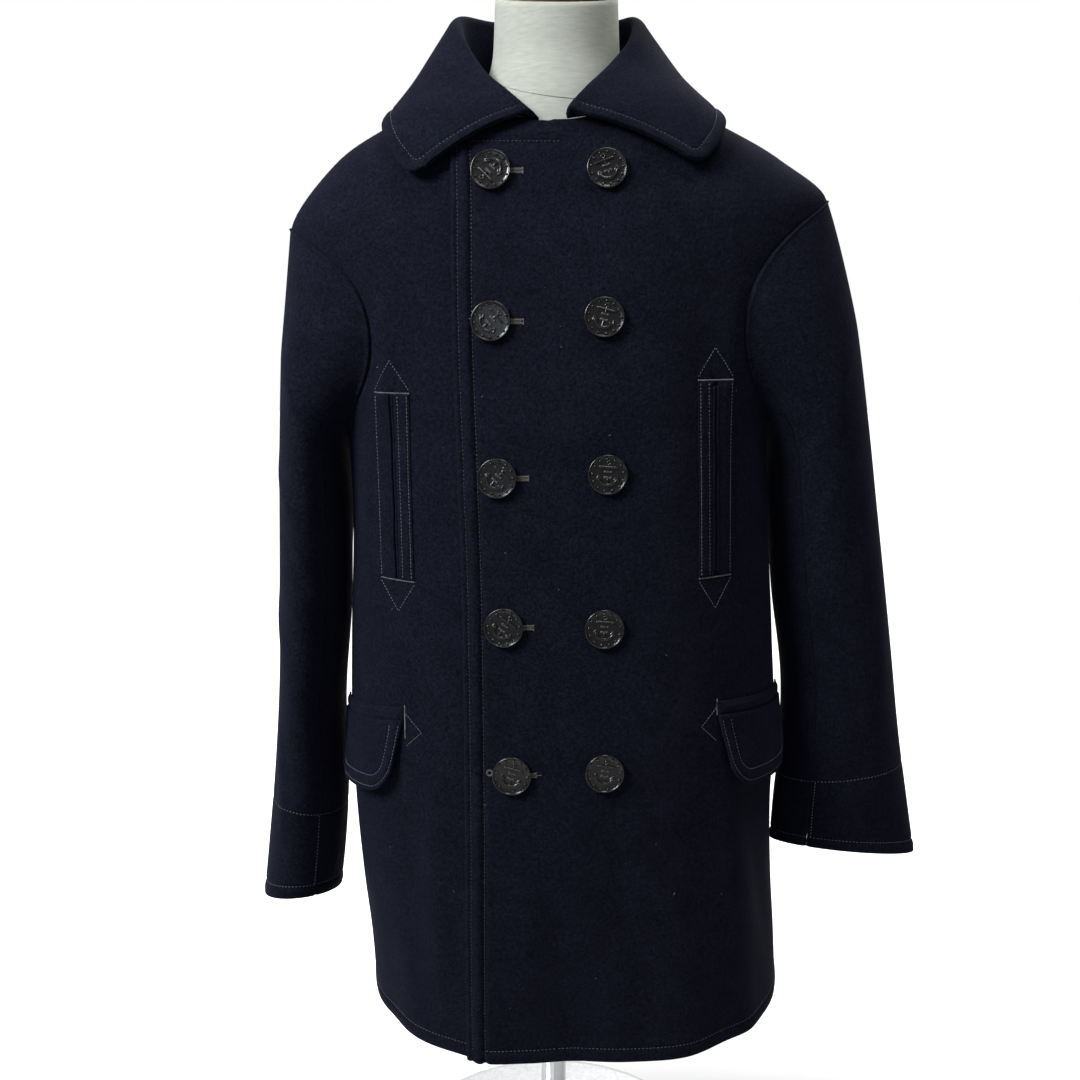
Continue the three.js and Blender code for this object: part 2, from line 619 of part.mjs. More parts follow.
// A turned button with a raised rim, standing on the outer front.
function button([x, z]) {
  const profile = [
    [0, 0],
    [BUTTON_RADIUS, 0],
    [BUTTON_RADIUS, BUTTON_THICKNESS],
    [BUTTON_RADIUS - 2.2, BUTTON_THICKNESS],
    [BUTTON_RADIUS - 3, BUTTON_THICKNESS - 0.7],
    [0, BUTTON_THICKNESS - 0.7],
  ].map(([r, h]) => new THREE.Vector2(r, h));
  const geometry = new THREE.LatheGeometry(profile, 16);
  const [angle, level] = placeOnFront(x, z);
  const normal = bodyNormal(angle, level);
  const turn = new THREE.Quaternion().setFromUnitVectors(new THREE.Vector3(0, 1, 0), normal);
  const seat = bodyPoint(angle, level, lapLift(angle) + SEAT_GAP);
  return { geometry, turn, seat };
}

// ---- Dress form ----------------------------------------------------------------------------------------------

function formRing(level, columns) {
  const s = rowAt(FORM, level);
  return Array.from({ length: columns }, (_, c) => {
    const angle = (2 * Math.PI * c) / columns;
    const side = Math.abs(Math.sin(angle)) ** 3;
    const inside = CLOTH + mix(s.inside, s.sideInside, side);
    return bodySurface(angle, level).addScaledVector(bodyNormal(angle, level), -inside);
  });
}

function formTorso() {
  const columns = FORM_COLUMNS;
  const bottom = formRing(FORM_BOTTOM, columns);
  bottom.forEach((p) => (p.z = FORM_BOTTOM));
  const neck = FORM_NECK.map((s) =>
    Array.from({ length: columns }, (_, c) => {
      const angle = (2 * Math.PI * c) / columns;
      const depth = Math.cos(angle) > 0 ? s.front : s.back;
      const height = s.height - s.lean * Math.cos(angle);
      return new THREE.Vector3(s.half * Math.sin(angle), -depth * Math.cos(angle), height);
    }),
  );
  return stack([bottom, ...FORM_LEVELS.map((level) => formRing(level, columns)), ...neck]);
}

// A solid turned about the pole's axis, from radius and height pairs.
function turned(pairs, segments) {
  const geometry = new THREE.LatheGeometry(
    pairs.map(([r, h]) => new THREE.Vector2(r, h)),
    segments,
  );
  return geometry.rotateX(Math.PI / 2);
}

// A low turned cap that lies on the neck's top, which slopes down to the front.
function neckCap() {
  const top = FORM_NECK[FORM_NECK.length - 1];
  const geometry = turned(CAP_PROFILE, FORM_COLUMNS);
  geometry.scale(top.half / CAP_RADIUS, top.front / CAP_RADIUS, 1);
  return geometry.rotateX(Math.atan2(top.lean, top.front)).translate(0, 0, top.height + MESH_GAP);
}

function pole() {
  const [low, high] = [BASE_THICKNESS + MESH_GAP, FORM_BOTTOM - MESH_GAP];
  const profile = [
    [0, low],
    [30, low],
    [30, low + 6],
    [18, low + 14],
    [POLE_RADIUS, low + 16],
    [POLE_RADIUS, high - 12],
    [45, high - 6],
    [45, high],
    [0, high],
  ];
  return turned(profile, 20);
}

function base() {
  const profile = [
    [0, 0],
    [BASE_RADIUS, 0],
    [BASE_RADIUS, BASE_THICKNESS - 4],
    [BASE_RADIUS - 3, BASE_THICKNESS - 1],
    [BASE_RADIUS - 8, BASE_THICKNESS],
    [0, BASE_THICKNESS],
  ];
  return turned(profile, 36);
}

// ---- Assembly ------------------------------------------------------------------------------------------------

const wool = new THREE.MeshStandardMaterial({ color: 0x181b2b, roughness: 0.95, metalness: 0 });
const buttonBlack = new THREE.MeshStandardMaterial({ color: 0x1a1b1e, roughness: 0.35, metalness: 0 });
const linen = new THREE.MeshStandardMaterial({ color: 0xb9bfb6, roughness: 0.9, metalness: 0 });
const wood = new THREE.MeshStandardMaterial({ color: 0x8a5f33, roughness: 0.5, metalness: 0 });
const steel = new THREE.MeshStandardMaterial({ color: 0xc8cacb, roughness: 0.35, metalness: 0.8 });

const coat = new THREE.Group();
const form = new THREE.Group();

function add(group, name, geometry, material) {
  const mesh = new THREE.Mesh(geometry, material);
  mesh.name = name;
  group.add(mesh);
  return mesh;
}

add(coat, "front_left", frontPanel(1, LAP_LINE, FRONT_LINES, lapLift), wool);
add(coat, "front_right", frontPanel(-1, 0, UNDER_LINE, () => 0), wool);
add(coat, "back", backPanel(), wool);
add(coat, "collar", collar(), wool);

for (const [side, hand] of [["left", 1], ["right", -1]]) {
  const rows = SLEEVES[side];
  const upper = sleevePiece(hand, rows, SLEEVE_BACK_SEAM - SLEEVE_SIDES, SLEEVE_FRONT_SEAM);
  const under = sleevePiece(hand, rows, SLEEVE_FRONT_SEAM, SLEEVE_BACK_SEAM);
  add(coat, `sleeve_${side}_upper`, upper, wool);
  add(coat, `sleeve_${side}_under`, under, wool);
  add(coat, `welt_${side}_inner`, pocketWelt(HAND_POCKETS[side], -hand), wool);
  add(coat, `welt_${side}_outer`, pocketWelt(HAND_POCKETS[side], hand), wool);
  add(coat, `pocket_band_${side}`, pocketBand(FLAP_POCKETS[side]), wool);
  add(coat, `pocket_flap_${side}`, pocketFlap(FLAP_POCKETS[side]), wool);
}

for (const [column, places] of Object.entries(BUTTONS)) {
  places.forEach((place, i) => {
    const { geometry, turn, seat } = button(place);
    const mesh = add(coat, `button_${column}_${i + 1}`, geometry, buttonBlack);
    mesh.quaternion.copy(turn);
    mesh.position.copy(seat);
  });
}

add(form, "form_torso", formTorso(), linen);
add(form, "form_neck_cap", neckCap(), wood);
add(form, "form_pole", pole(), steel);
add(form, "form_base", base(), steel);

const part = new THREE.Group();
part.add(coat, form);

export default part;
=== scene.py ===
"""Looks of a double-breasted pea coat on a limbless dress form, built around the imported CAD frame.

Sizes are in millimetres until a mesh is made, and its points are then turned to metres.
The section tables are those of the CAD solids, so every piece lies where its solid does.
"""

import json
import math

import bpy
import numpy as np
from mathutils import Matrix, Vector

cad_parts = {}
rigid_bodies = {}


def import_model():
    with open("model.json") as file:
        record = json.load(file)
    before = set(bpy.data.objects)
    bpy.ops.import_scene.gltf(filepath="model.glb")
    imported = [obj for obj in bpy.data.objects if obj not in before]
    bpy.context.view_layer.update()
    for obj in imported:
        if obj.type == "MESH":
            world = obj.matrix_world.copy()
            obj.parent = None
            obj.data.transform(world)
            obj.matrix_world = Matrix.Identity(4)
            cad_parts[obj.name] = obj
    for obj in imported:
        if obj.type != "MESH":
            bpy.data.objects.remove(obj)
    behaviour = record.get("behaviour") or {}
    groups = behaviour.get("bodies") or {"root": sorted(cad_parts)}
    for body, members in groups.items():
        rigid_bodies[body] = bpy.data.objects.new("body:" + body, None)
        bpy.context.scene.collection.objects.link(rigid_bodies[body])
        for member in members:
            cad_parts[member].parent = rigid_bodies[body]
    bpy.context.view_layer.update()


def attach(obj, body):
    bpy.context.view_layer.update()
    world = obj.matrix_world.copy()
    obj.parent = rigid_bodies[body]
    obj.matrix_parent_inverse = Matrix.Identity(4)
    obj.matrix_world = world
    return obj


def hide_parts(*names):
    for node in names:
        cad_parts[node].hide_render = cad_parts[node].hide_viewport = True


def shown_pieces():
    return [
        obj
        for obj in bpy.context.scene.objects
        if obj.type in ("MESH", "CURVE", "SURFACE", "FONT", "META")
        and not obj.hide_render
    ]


for piece in list(bpy.data.objects):
    bpy.data.objects.remove(piece)

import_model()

MM = 0.001
SEED = 7
HAND = {"left": 1, "right": -1}  # the sign of x on the wearer's left and right

# ---- Driving sizes, as in the CAD ----

CLOTH = 3.0
COLLAR_CLOTH = 4.4
NECK_SEAM_RISE = 2.1
NECK_SEAM_CLOTH = 2.4
SEAM_GAP = 0.4
LAP_GAP = 0.9
SEAT_GAP = 0.35
HEM = 250.0
UNDERARM = 785.0
SHOULDER_TIP = 965.0
NECK = 1075.0
ARMHOLE_FRONT = 0.48
ARMHOLE_BACK = 0.42
LAP_FULL, LAP_END = 0.66, 0.98
LAP_BACK = -0.6  # past this angle the inner front is bare, and what lies on it is not lifted
NECK_EDGE_Z = 1035.0
EDGE_TABLES_TOP = 1040.0
SIDE = math.pi / 2
SEAM_ANGLE = SEAM_GAP / 2 / 190
SLEEVE_TURN = 2 * math.pi / 20
SLEEVE_FRONT_SEAM, SLEEVE_BACK_SEAM = 7, 14
VENT_RADIUS = 57.0
VENT_HEIGHT = 95.0
WELT_WIDTH, SLIT_WIDTH, WELT_CLOTH = 12.5, 5.0, 1.6
BAND_HEIGHT, BAND_CLOTH = 12.0, 3.2
FLAP_DROP, FLAP_CORNER, FLAP_CLOTH, FLAP_LIFT, FLAP_TAPER = 60.0, 26.0, 4.0, 6.0, 0.07
FORM_BOTTOM = 480.0


def table(columns, *rows):
    """Rows of numbers as arrays by column name."""
    return dict(zip(columns, np.array(rows, float).T))


BODY = table(
    ["level", "frontZ", "sideZ", "backZ", "right", "left", "front", "back", "square", "tilt"],
    [HEM, 249, 251, 253, 174, 216, 158, 134, 2.5, 0],
    [310, 310, 310, 310, 177, 212, 158, 133, 2.5, 0],
    [370, 370, 370, 370, 183, 207, 157, 132, 2.5, 0],
    [440, 440, 440, 440, 188, 204, 154, 130, 2.5, 0],
    [520, 520, 520, 520, 190, 205, 149, 128, 2.5, 0],
    [600, 600, 600, 600, 188, 200, 141, 127, 2.45, 0],
    [700, 700, 700, 700, 184, 193, 131, 127, 2.4, 0],
    [UNDERARM, 782, 785, 785, 187, 190, 122, 128, 2.4, 0.02],
    [850, 842, 850, 848, 199, 201, 114, 125, 2.35, 0.03],
    [910, 893, 910, 905, 218, 221, 106, 119, 2.3, 0.04],
    [SHOULDER_TIP, 938, 970, 950, 231, 235, 98, 110, 2.25, 0.05],
    [1000, 972, 1014, 1000, 191, 193, 90, 100, 2.2, 0.01],
    [1030, 1000, 1040, 1036, 150, 150, 85, 91, 2.15, 0],
    [1055, 1020, 1058, 1064, 110, 110, 81, 81, 2.1, 0],
    [NECK, 1036, 1074, 1088, 77, 77, 78, 70, 2.05, 0],
)

# The large folds, as in the CAD: angles round the body, spread as an angle, rise in millimetres.
FOLDS = table(
    ["fromZ", "fromAngle", "toZ", "toAngle", "spread", "rise"],
    [200, -0.36, 470, -0.42, 0.12, 4],
    [200, 0.1, 420, 0.06, 0.2, -5],
    [200, 0.62, 400, 0.72, 0.16, 4],
    [230, 1.0, 500, 0.84, 0.09, 4],
    [200, -1.02, 470, -0.9, 0.15, -4],
    [200, 2.6, 620, 2.72, 0.16, 5],
    [200, -2.6, 640, -2.74, 0.16, 5],
    [200, 3.12, 560, 3.14, 0.2, -4],
)

# Softer creases of the body cloth: from and to as an angle round the body and a height, width and rise.
CREASE_COLUMNS = ["fromAngle", "fromZ", "toAngle", "toZ", "width", "rise"]
BODY_CREASES = table(
    CREASE_COLUMNS,
    [-1.02, 925, -1.0, 790, 9, 1.6],
    [-1.09, 905, -1.1, 800, 7, -1.5],
    [-0.88, 900, -0.84, 770, 12, -1.2],
    [1.04, 930, 1.0, 800, 9, 1.7],
    [1.12, 915, 1.11, 810, 7, -1.5],
    [0.9, 905, 0.84, 760, 13, -1.3],
    [-0.36, 880, -0.8, 935, 14, 1.0],
    [-0.3, 757, -0.72, 720, 16, 0.9],
    [-0.28, 634, -0.7, 600, 18, 0.9],
    [0.2, 885, 0.72, 930, 16, 0.9],
    [0.22, 758, 0.7, 800, 18, -0.8],
    [0.24, 633, 0.66, 600, 18, 0.8],
    [-0.66, 520, -0.6, 300, 12, 3.4],
    [-0.8, 510, -0.76, 300, 17, -3.4],
    [0.86, 515, 1.08, 330, 16, 3.6],
    [0.98, 470, 1.22, 300, 14, -3.0],
    [0.72, 500, 0.8, 290, 16, -2.2],
    [0.3, 500, 0.42, 290, 22, -2.4],
    [-0.18, 480, -0.12, 280, 20, 2.0],
    [0.1, 470, 0.14, 280, 16, 1.6],
    [-1.3, 700, -1.26, 560, 14, 1.4],
    [1.3, 720, 1.3, 590, 14, 1.4],
    [2.1, 905, 2.55, 840, 16, 1.8],
    [-2.1, 905, -2.6, 850, 16, 1.8],
    [2.05, 860, 2.4, 770, 12, -1.4],
    [-2.05, 870, -2.38, 770, 12, -1.4],
    [2.3, 760, 2.45, 560, 20, 1.8],
    [-2.35, 740, -2.42, 540, 20, 1.8],
    [2.9, 980, -2.95, 975, 18, 1.2],
    [2.0, 520, 2.12, 300, 18, -2.2],
    [-2.02, 540, -2.16, 310, 18, -2.2],
    [1.75, 640, 1.8, 420, 14, 1.5],
    [-1.76, 620, -1.82, 400, 14, 1.5],
)

SLEEVE_COLUMNS = ["share", "outerX", "outerZ", "innerX", "innerZ", "midY", "depth", "rise"]
SLEEVES = {
    "right": table(
        SLEEVE_COLUMNS,
        [0, 232, 957, 188, 784, 2, 88, 0],
        [0.09, 237, 915, 191, 762, 2, 86, 0],
        [0.2, 242, 855, 189, 732, 2, 84, 0],
        [0.34, 247, 775, 189, 687, 1, 82, 0],
        [0.5, 251, 675, 192, 613, -2, 79, 0],
        [0.66, 255, 565, 200, 527, -6, 75, 4],
        [0.8, 263, 473, 199, 451, -10, 69, 9],
        [0.9, 271, 404, 202, 395, -13, 64, 14],
        [1, 279, 338, 208, 341, -16, 59, 18],
    ),
    "left": table(
        SLEEVE_COLUMNS,
        [0, 237, 978, 191, 786, 2, 88, 0],
        [0.09, 252, 936, 195, 764, 2, 85, 0],
        [0.2, 266, 875, 194, 735, 2, 80, 0],
        [0.34, 281, 790, 198, 690, 1, 75, 0],
        [0.5, 295, 700, 204, 627, -1, 70, 0],
        [0.66, 312, 590, 215, 549, -4, 62, 1],
        [0.8, 325, 500, 215, 476, -8, 53, 3],
        [0.9, 336, 438, 211, 434, -11, 44, 5],
        [1, 347, 377, 208, 390, -14, 34, 7],
    ),
}
SLEEVE_LENGTH = 600.0
SLEEVE_RADIUS = 62.0

# Creases of a sleeve: from and to as an angle round it and a share of its length, width and rise.
SLEEVE_CREASE_COLUMNS = ["fromTurn", "fromShare", "toTurn", "toShare", "width", "rise"]
SLEEVE_CREASES = {
    "right": table(
        SLEEVE_CREASE_COLUMNS,
        [0.3, 0.02, 1.3, 0.22, 14, 1.6],
        [-0.5, 0.03, -1.4, 0.2, 14, 1.5],
        [1.0, 0.44, 2.1, 0.5, 9, -1.6],
        [1.3, 0.52, 2.3, 0.47, 9, 1.7],
        [0.4, 0.36, 1.4, 0.4, 12, 1.3],
        [-0.9, 0.42, -0.1, 0.5, 12, -1.4],
        [0.1, 0.55, 1.2, 0.62, 13, 1.3],
        [0.8, 0.7, 1.2, 0.9, 11, 1.4],
        [-0.6, 0.66, -0.9, 0.9, 14, 1.2],
        [3.4, 0.3, 3.8, 0.6, 14, -1.4],
    ),
    "left": table(
        SLEEVE_CREASE_COLUMNS,
        [0.5, 0.03, 1.5, 0.25, 15, 1.6],
        [-0.4, 0.03, -1.3, 0.22, 14, 1.5],
        [1.1, 0.36, 1.5, 0.56, 12, -1.6],
        [1.5, 0.3, 2.0, 0.44, 11, 1.5],
        [0.7, 0.5, 1.1, 0.78, 16, 1.7],
        [1.6, 0.6, 1.4, 0.86, 12, -1.4],
        [-0.8, 0.42, -0.2, 0.5, 13, -1.4],
        [-0.7, 0.64, -1.0, 0.88, 15, 1.4],
        [3.5, 0.34, 3.7, 0.62, 14, -1.4],
    ),
}

COLLAR = table(
    ["station", "angle", "rollX", "rollY", "rollZ", "edgeAngle", "edgeLevel", "out", "fold", "bulge"],
    [0, -0.2, -22, -83.5, 1042.5, -0.97, 996, 10, 4, 5],
    [1, -0.5, -40, -71, 1057, -1.11, 1010, 8, 4.5, 4],
    [2, -0.95, -60, -46, 1076, -1.31, 1028, 6.5, 5, 4],
    [3, -1.4, -78, -14, 1108, -1.53, 1036, 7, 5, 2],
    [4, -1.95, -80, 26, 1132, -1.87, 1038, 8, 5, 2],
    [5, -2.5, -52, 62, 1136, -2.35, 1038, 10, 5, 3],
    [6, -3.14, -4, 75, 1137, -3.11, 1038, 10, 5, 3],
    [7, -3.78, 45, 62, 1136, -3.89, 1040, 10, 5, 3],
    [8, -4.33, 66, 28, 1132, -4.35, 1040, 8, 5, 2],
    [9, -4.88, 63, -12, 1108, -4.71, 1040, 6.5, 5, 2],
    [10, -5.33, 46, -42, 1083, -4.97, 1032, 6.5, 5, 4],
    [11, -5.78, 26, -66, 1062, -5.17, 1016, 8, 4.5, 4],
    [12, -6.18, 9, -83, 1043, -5.31, 1002, 10, 4, 5],
)

FORM = table(
    ["level", "inside", "sideInside"],
    [480, 24, 30],
    [600, 16, 26],
    [700, 15, 26],
    [UNDERARM, 13, 30],
    [850, 11, 38],
    [910, 7, 44],
    [SHOULDER_TIP, 3, 40],
    [1000, 1.6, 12],
    [1030, 2.4, 2.4],
    [1055, 2.8, 2.8],
    [NECK, 2.8, 2.8],
)
FORM_NECK = table(
    ["height", "half", "front", "back", "lean"],
    [1078, 60, 66, 60, 14],
    [1098, 54, 57, 57, 4],
    [1147, 52, 55, 55, 16],
)
NECK_LINE_Z = 1079.0

LAP_EDGE = table(
    ["height", "x"], [HEM, -75], [400, -75], [634, -76], [755, -79], [881, -83], [990, -84], [1040, -85]
)
UNDER_EDGE = table(["height", "x"], [HEM, 84], [600, 82], [880, 66], [1000, 48], [1040, 40])

# Each button: its place on the front, and how far its anchor is turned, in degrees.
BUTTON_COLUMNS = ["x", "z", "turn"]
BUTTONS = {
    "lap": table(
        BUTTON_COLUMNS, [-53, 997, 135], [-53, 879, -50], [-48, 755, -40], [-43, 634, -35], [-37, 511, -15]
    ),
    "plain": table(
        BUTTON_COLUMNS, [39, 998, 20], [37, 882, -15], [40, 758, -5], [38, 633, -5], [39, 513, -10]
    ),
}

HAND_POCKETS = {
    "right": {"top": (-137, 820), "bottom": (-134, 667), "hand": -1},
    "left": {"top": (130, 831), "bottom": (132, 671), "hand": 1},
}
FLAP_POCKETS = {
    "right": {"inner": (-0.825, 546), "outer": (-1.4, 530)},
    "left": {"inner": (0.84, 552), "outer": (1.4, 543)},
}


# ---- Curves and surfaces ----


def row_at(rows, value):
    """Every column of a table at a value of its first one, on a smooth curve through the rows."""
    names = list(rows)
    key = rows[names[0]]
    value = np.asarray(value, float)
    last = len(key) - 1
    i = np.clip(np.searchsorted(key, value, side="right") - 1, 0, last - 1)
    before, after = np.maximum(i - 1, 0), np.minimum(i + 2, last)
    span = key[i + 1] - key[i]
    t = np.clip((value - key[i]) / span, 0, 1)
    found = {}
    for name in names:
        c = rows[name]
        slope_a = (c[i + 1] - c[before]) / (key[i + 1] - key[before]) * span
        slope_b = (c[after] - c[i]) / (key[after] - key[i]) * span
        found[name] = (
            (1 + 2 * t) * (1 - t) ** 2 * c[i]
            + t * (1 - t) ** 2 * slope_a
            + t * t * (3 - 2 * t) * c[i + 1]
            + t * t * (t - 1) * slope_b
        )
    return found


def spans(*rows):
    """Evenly spaced runs of from, to and count, one after another without their shared ends."""
    return np.concatenate([np.linspace(*row)[min(i, 1) :] for i, row in enumerate(rows)])


def smooth(start, end, value):
    t = np.clip((value - start) / (end - start), 0, 1)
    return t * t * (3 - 2 * t)


def mix(a, b, t):
    return a + (b - a) * t


def bump(distance, width):
    return np.exp(-((distance / width) ** 2))


def unit(v):
    return v / np.maximum(np.linalg.norm(v, axis=-1, keepdims=True), 1e-9)


def turn_to(angle):
    return np.arctan2(np.sin(angle), np.cos(angle))


def bisect(f, low, high, target):
    """Where a rising function of one array reaches a target, point by point."""
    low, high = np.array(low, float), np.array(high, float)
    for _ in range(34):
        middle = (low + high) / 2
        below = f(middle) < target
        low, high = np.where(below, middle, low), np.where(below, high, middle)
    return (low + high) / 2


def relief(u, v, creases, keep=0.25):
    """The height of soft creases that run between two points of a flat map in millimetres."""
    height = np.zeros(np.broadcast(u, v).shape)
    for from_u, from_v, to_u, to_v, width, rise in zip(*creases):
        du, dv = to_u - from_u, to_v - from_v
        along = np.clip(((u - from_u) * du + (v - from_v) * dv) / (du * du + dv * dv), 0, 1)
        away = np.hypot(u - from_u - along * du, v - from_v - along * dv)
        height += rise * bump(away, width) * (keep + (1 - keep) * np.sin(np.pi * along))
    return height


def body_surface(angle, level):
    """The body's outer face before its folds, at an angle round it and a section level."""
    s = row_at(BODY, level)
    sin, cos = np.sin(angle), np.cos(angle)
    wide = np.abs(sin) / np.where(sin < 0, s["right"], s["left"])
    deep = np.abs(cos) / np.where(cos > 0, s["front"], s["back"])
    radius = (wide ** s["square"] + deep ** s["square"]) ** (-1 / s["square"])
    x = radius * sin
    lean = np.abs(cos) ** 1.5
    z = s["sideZ"] + (np.where(cos > 0, s["frontZ"], s["backZ"]) - s["sideZ"]) * lean + s["tilt"] * x
    return np.stack([x, -radius * cos, z], -1)


def normal_of(surface, u, v, du, dv):
    """The unit normal of a surface, on the side where its columns and then its rows turn to the left."""
    along_u = surface(u + du, v) - surface(u - du, v)
    along_v = surface(u, v + dv) - surface(u, v - dv)
    return unit(np.cross(along_u, along_v))


def body_normal(angle, level):
    return normal_of(body_surface, angle, level, 0.004, 1.0)


def fold_height(angle, z):
    height = np.zeros(np.broadcast(angle, z).shape)
    for from_z, from_angle, to_z, to_angle, spread, rise in zip(*FOLDS.values()):
        share = np.clip((z - from_z) / (to_z - from_z), 0, 1)
        off = turn_to(angle - mix(from_angle, to_angle, share)) / spread
        height += rise * (1 - smooth(0.55, 1, share)) * np.exp(-off * off)
    return height


BODY_RADIUS, FRONT_RADIUS = 165.0, 150.0  # rough radii that turn millimetres into an angle


def crease_height(angle, z):
    """The softer creases, on a map whose millimetres round the body are about right."""
    around = BODY_RADIUS
    rows = BODY_CREASES
    height = 0
    for shift in (-2 * math.pi, 0, 2 * math.pi):
        end = rows["fromAngle"] + turn_to(rows["toAngle"] - rows["fromAngle"])
        start = rows["fromAngle"] * around
        columns = [start, rows["fromZ"], end * around, rows["toZ"], rows["width"], rows["rise"]]
        height = height + relief((turn_to(angle) + shift) * around, z, columns)
    return height


def body_point(angle, level, outside=0.0):
    """A point outside the body's outer face, with its folds and creases."""
    p = body_surface(angle, level)
    z = p[..., 2]
    height = outside + fold_height(angle, z) + crease_height(angle, z)
    return p + body_normal(angle, level) * np.asarray(height)[..., None]


def angle_at(x, level):
    """The angle where a section of the front reaches a distance from the middle."""
    s = row_at(BODY, level)
    side = np.where(x < 0, s["right"], s["left"])
    y = s["front"] * (1 - np.minimum(np.abs(x) / side, 0.9999) ** s["square"]) ** (1 / s["square"])
    return np.arctan2(x, y)


def place_on_front(x, z):
    """The angle and level of the front's point at a distance from the middle and a height."""
    x, z = np.broadcast_arrays(np.asarray(x, float), np.asarray(z, float))
    angle = x / FRONT_RADIUS
    low, high = np.full(x.shape, HEM - 1), np.full(x.shape, NECK)
    for _ in range(12):
        level = bisect(lambda l: body_surface(angle, l)[..., 2], low, high, z)
        angle = angle_at(x, level)
    return angle, level


def lap_lift(angle):
    return (CLOTH + LAP_GAP) * (1 - smooth(LAP_FULL, LAP_END, angle))


def armhole_cut(level, reach):
    share = 2 * (level - UNDERARM) / (SHOULDER_TIP - UNDERARM) - 1
    return reach * np.sqrt(np.clip(1 - share * share, 0, 1))


def on_front(angle, level, outside):
    return body_point(angle, level, outside + np.where(angle > LAP_BACK, lap_lift(angle), 0))


# ---- Meshes ----

collection = bpy.context.scene.collection


def make(name, points, faces, material, replaced=(), slot="wool"):
    """A mesh object from points in millimetres, riding on the one body."""
    mesh = bpy.data.meshes.new(name)
    mesh.from_pydata((np.asarray(points) * MM).tolist(), [], faces)
    mesh.update()
    mesh.shade_smooth()
    piece = bpy.data.objects.new(name, mesh)
    collection.objects.link(piece)
    mesh.materials.append(material)
    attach(piece, "root")
    if replaced:
        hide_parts(*replaced)
    return piece


def grid_faces(rows, columns, start=0, flip=False):
    """Quads of a grid of rows by columns points."""
    r, c = np.meshgrid(np.arange(rows - 1), np.arange(columns - 1), indexing="ij")
    a = start + r * columns + c
    quads = np.stack([a, a + 1, a + columns + 1, a + columns], -1).reshape(-1, 4)
    return (quads[:, ::-1] if flip else quads).tolist()


def ring_faces(rings, sides):
    """The sides and both caps of rings stacked one above another."""
    faces = []
    for k in range(rings - 1):
        for c in range(sides):
            a, b = k * sides + c, k * sides + (c + 1) % sides
            faces.append([a, b, b + sides, a + sides])
    faces.append(list(range(sides))[::-1])
    faces.append([(rings - 1) * sides + c for c in range(sides)])
    return faces


def border(rows, columns):
    """The grid's boundary points in order, once round."""
    first = [(0, c) for c in range(columns)]
    right = [(r, columns - 1) for r in range(1, rows)]
    last = [(rows - 1, c) for c in range(columns - 2, -1, -1)]
    left = [(r, 0) for r in range(rows - 2, 0, -1)]
    return np.array(first + right + last + left)


def shell(outer, inner, roundness=1.0, steps=3):
    """A closed wall between two grids, with a rounded rim. roundness is a number, or a grid of them."""
    rows, columns = outer.shape[:2]
    count = rows * columns
    around = border(rows, columns)
    r, c = around.T
    rim_outer, rim_inner = outer[r, c], inner[r, c]
    to_row = np.where(r == 0, 1, np.where(r == rows - 1, -1, 0))
    to_column = np.where(c == 0, 1, np.where(c == columns - 1, -1, 0))
    away = np.zeros_like(rim_outer)
    for dr, dc in ((to_row, 0 * to_row), (0 * to_column, to_column)):
        step = outer[r, c] - outer[np.clip(r + dr, 0, rows - 1), np.clip(c + dc, 0, columns - 1)]
        away += np.where((np.abs(dr) + np.abs(dc))[:, None] > 0, unit(step), 0)
    across = rim_outer - rim_inner
    away = unit(away - unit(across) * np.sum(away * unit(across), -1, keepdims=True))
    swell = np.linalg.norm(across, axis=-1, keepdims=True) / 2
    swell = swell * (np.asarray(roundness)[r, c][:, None] if np.ndim(roundness) else roundness)
    rings = []
    for k in range(1, steps + 1):
        turn = math.pi * k / (steps + 1)
        rings.append(mix(rim_outer, rim_inner, (1 - math.cos(turn)) / 2) + away * swell * math.sin(turn))
    points = np.concatenate([outer.reshape(-1, 3), inner.reshape(-1, 3), *rings])
    faces = grid_faces(rows, columns) + grid_faces(rows, columns, count, flip=True)
    length = len(around)
    loops = [r * columns + c]
    loops += [2 * count + k * length + np.arange(length) for k in range(steps)]
    loops.append(count + r * columns + c)
    for a, b in zip(loops, loops[1:]):
        quads = np.stack([a, b, np.roll(b, -1), np.roll(a, -1)], -1)
        faces += quads.tolist()
    return points, faces


def outward(points, faces):
    """The faces turned so that they point out of a closed mesh."""
    p = np.asarray(points)
    volume = 0.0
    for size in (3, 4):
        some = np.array([f for f in faces if len(f) == size])
        if len(some):
            for k in range(1, size - 1):
                a, b, c = p[some[:, 0]], p[some[:, k]], p[some[:, k + 1]]
                volume += np.sum(a * np.cross(b, c))
    return faces if volume > 0 else [f[::-1] for f in faces]


def cloth(name, outer, inner, material, replaced, roundness=1.0):
    points, faces = shell(outer, inner, roundness)
    return make(f"{name}_cloth", points, outward(points, faces), material, replaced)


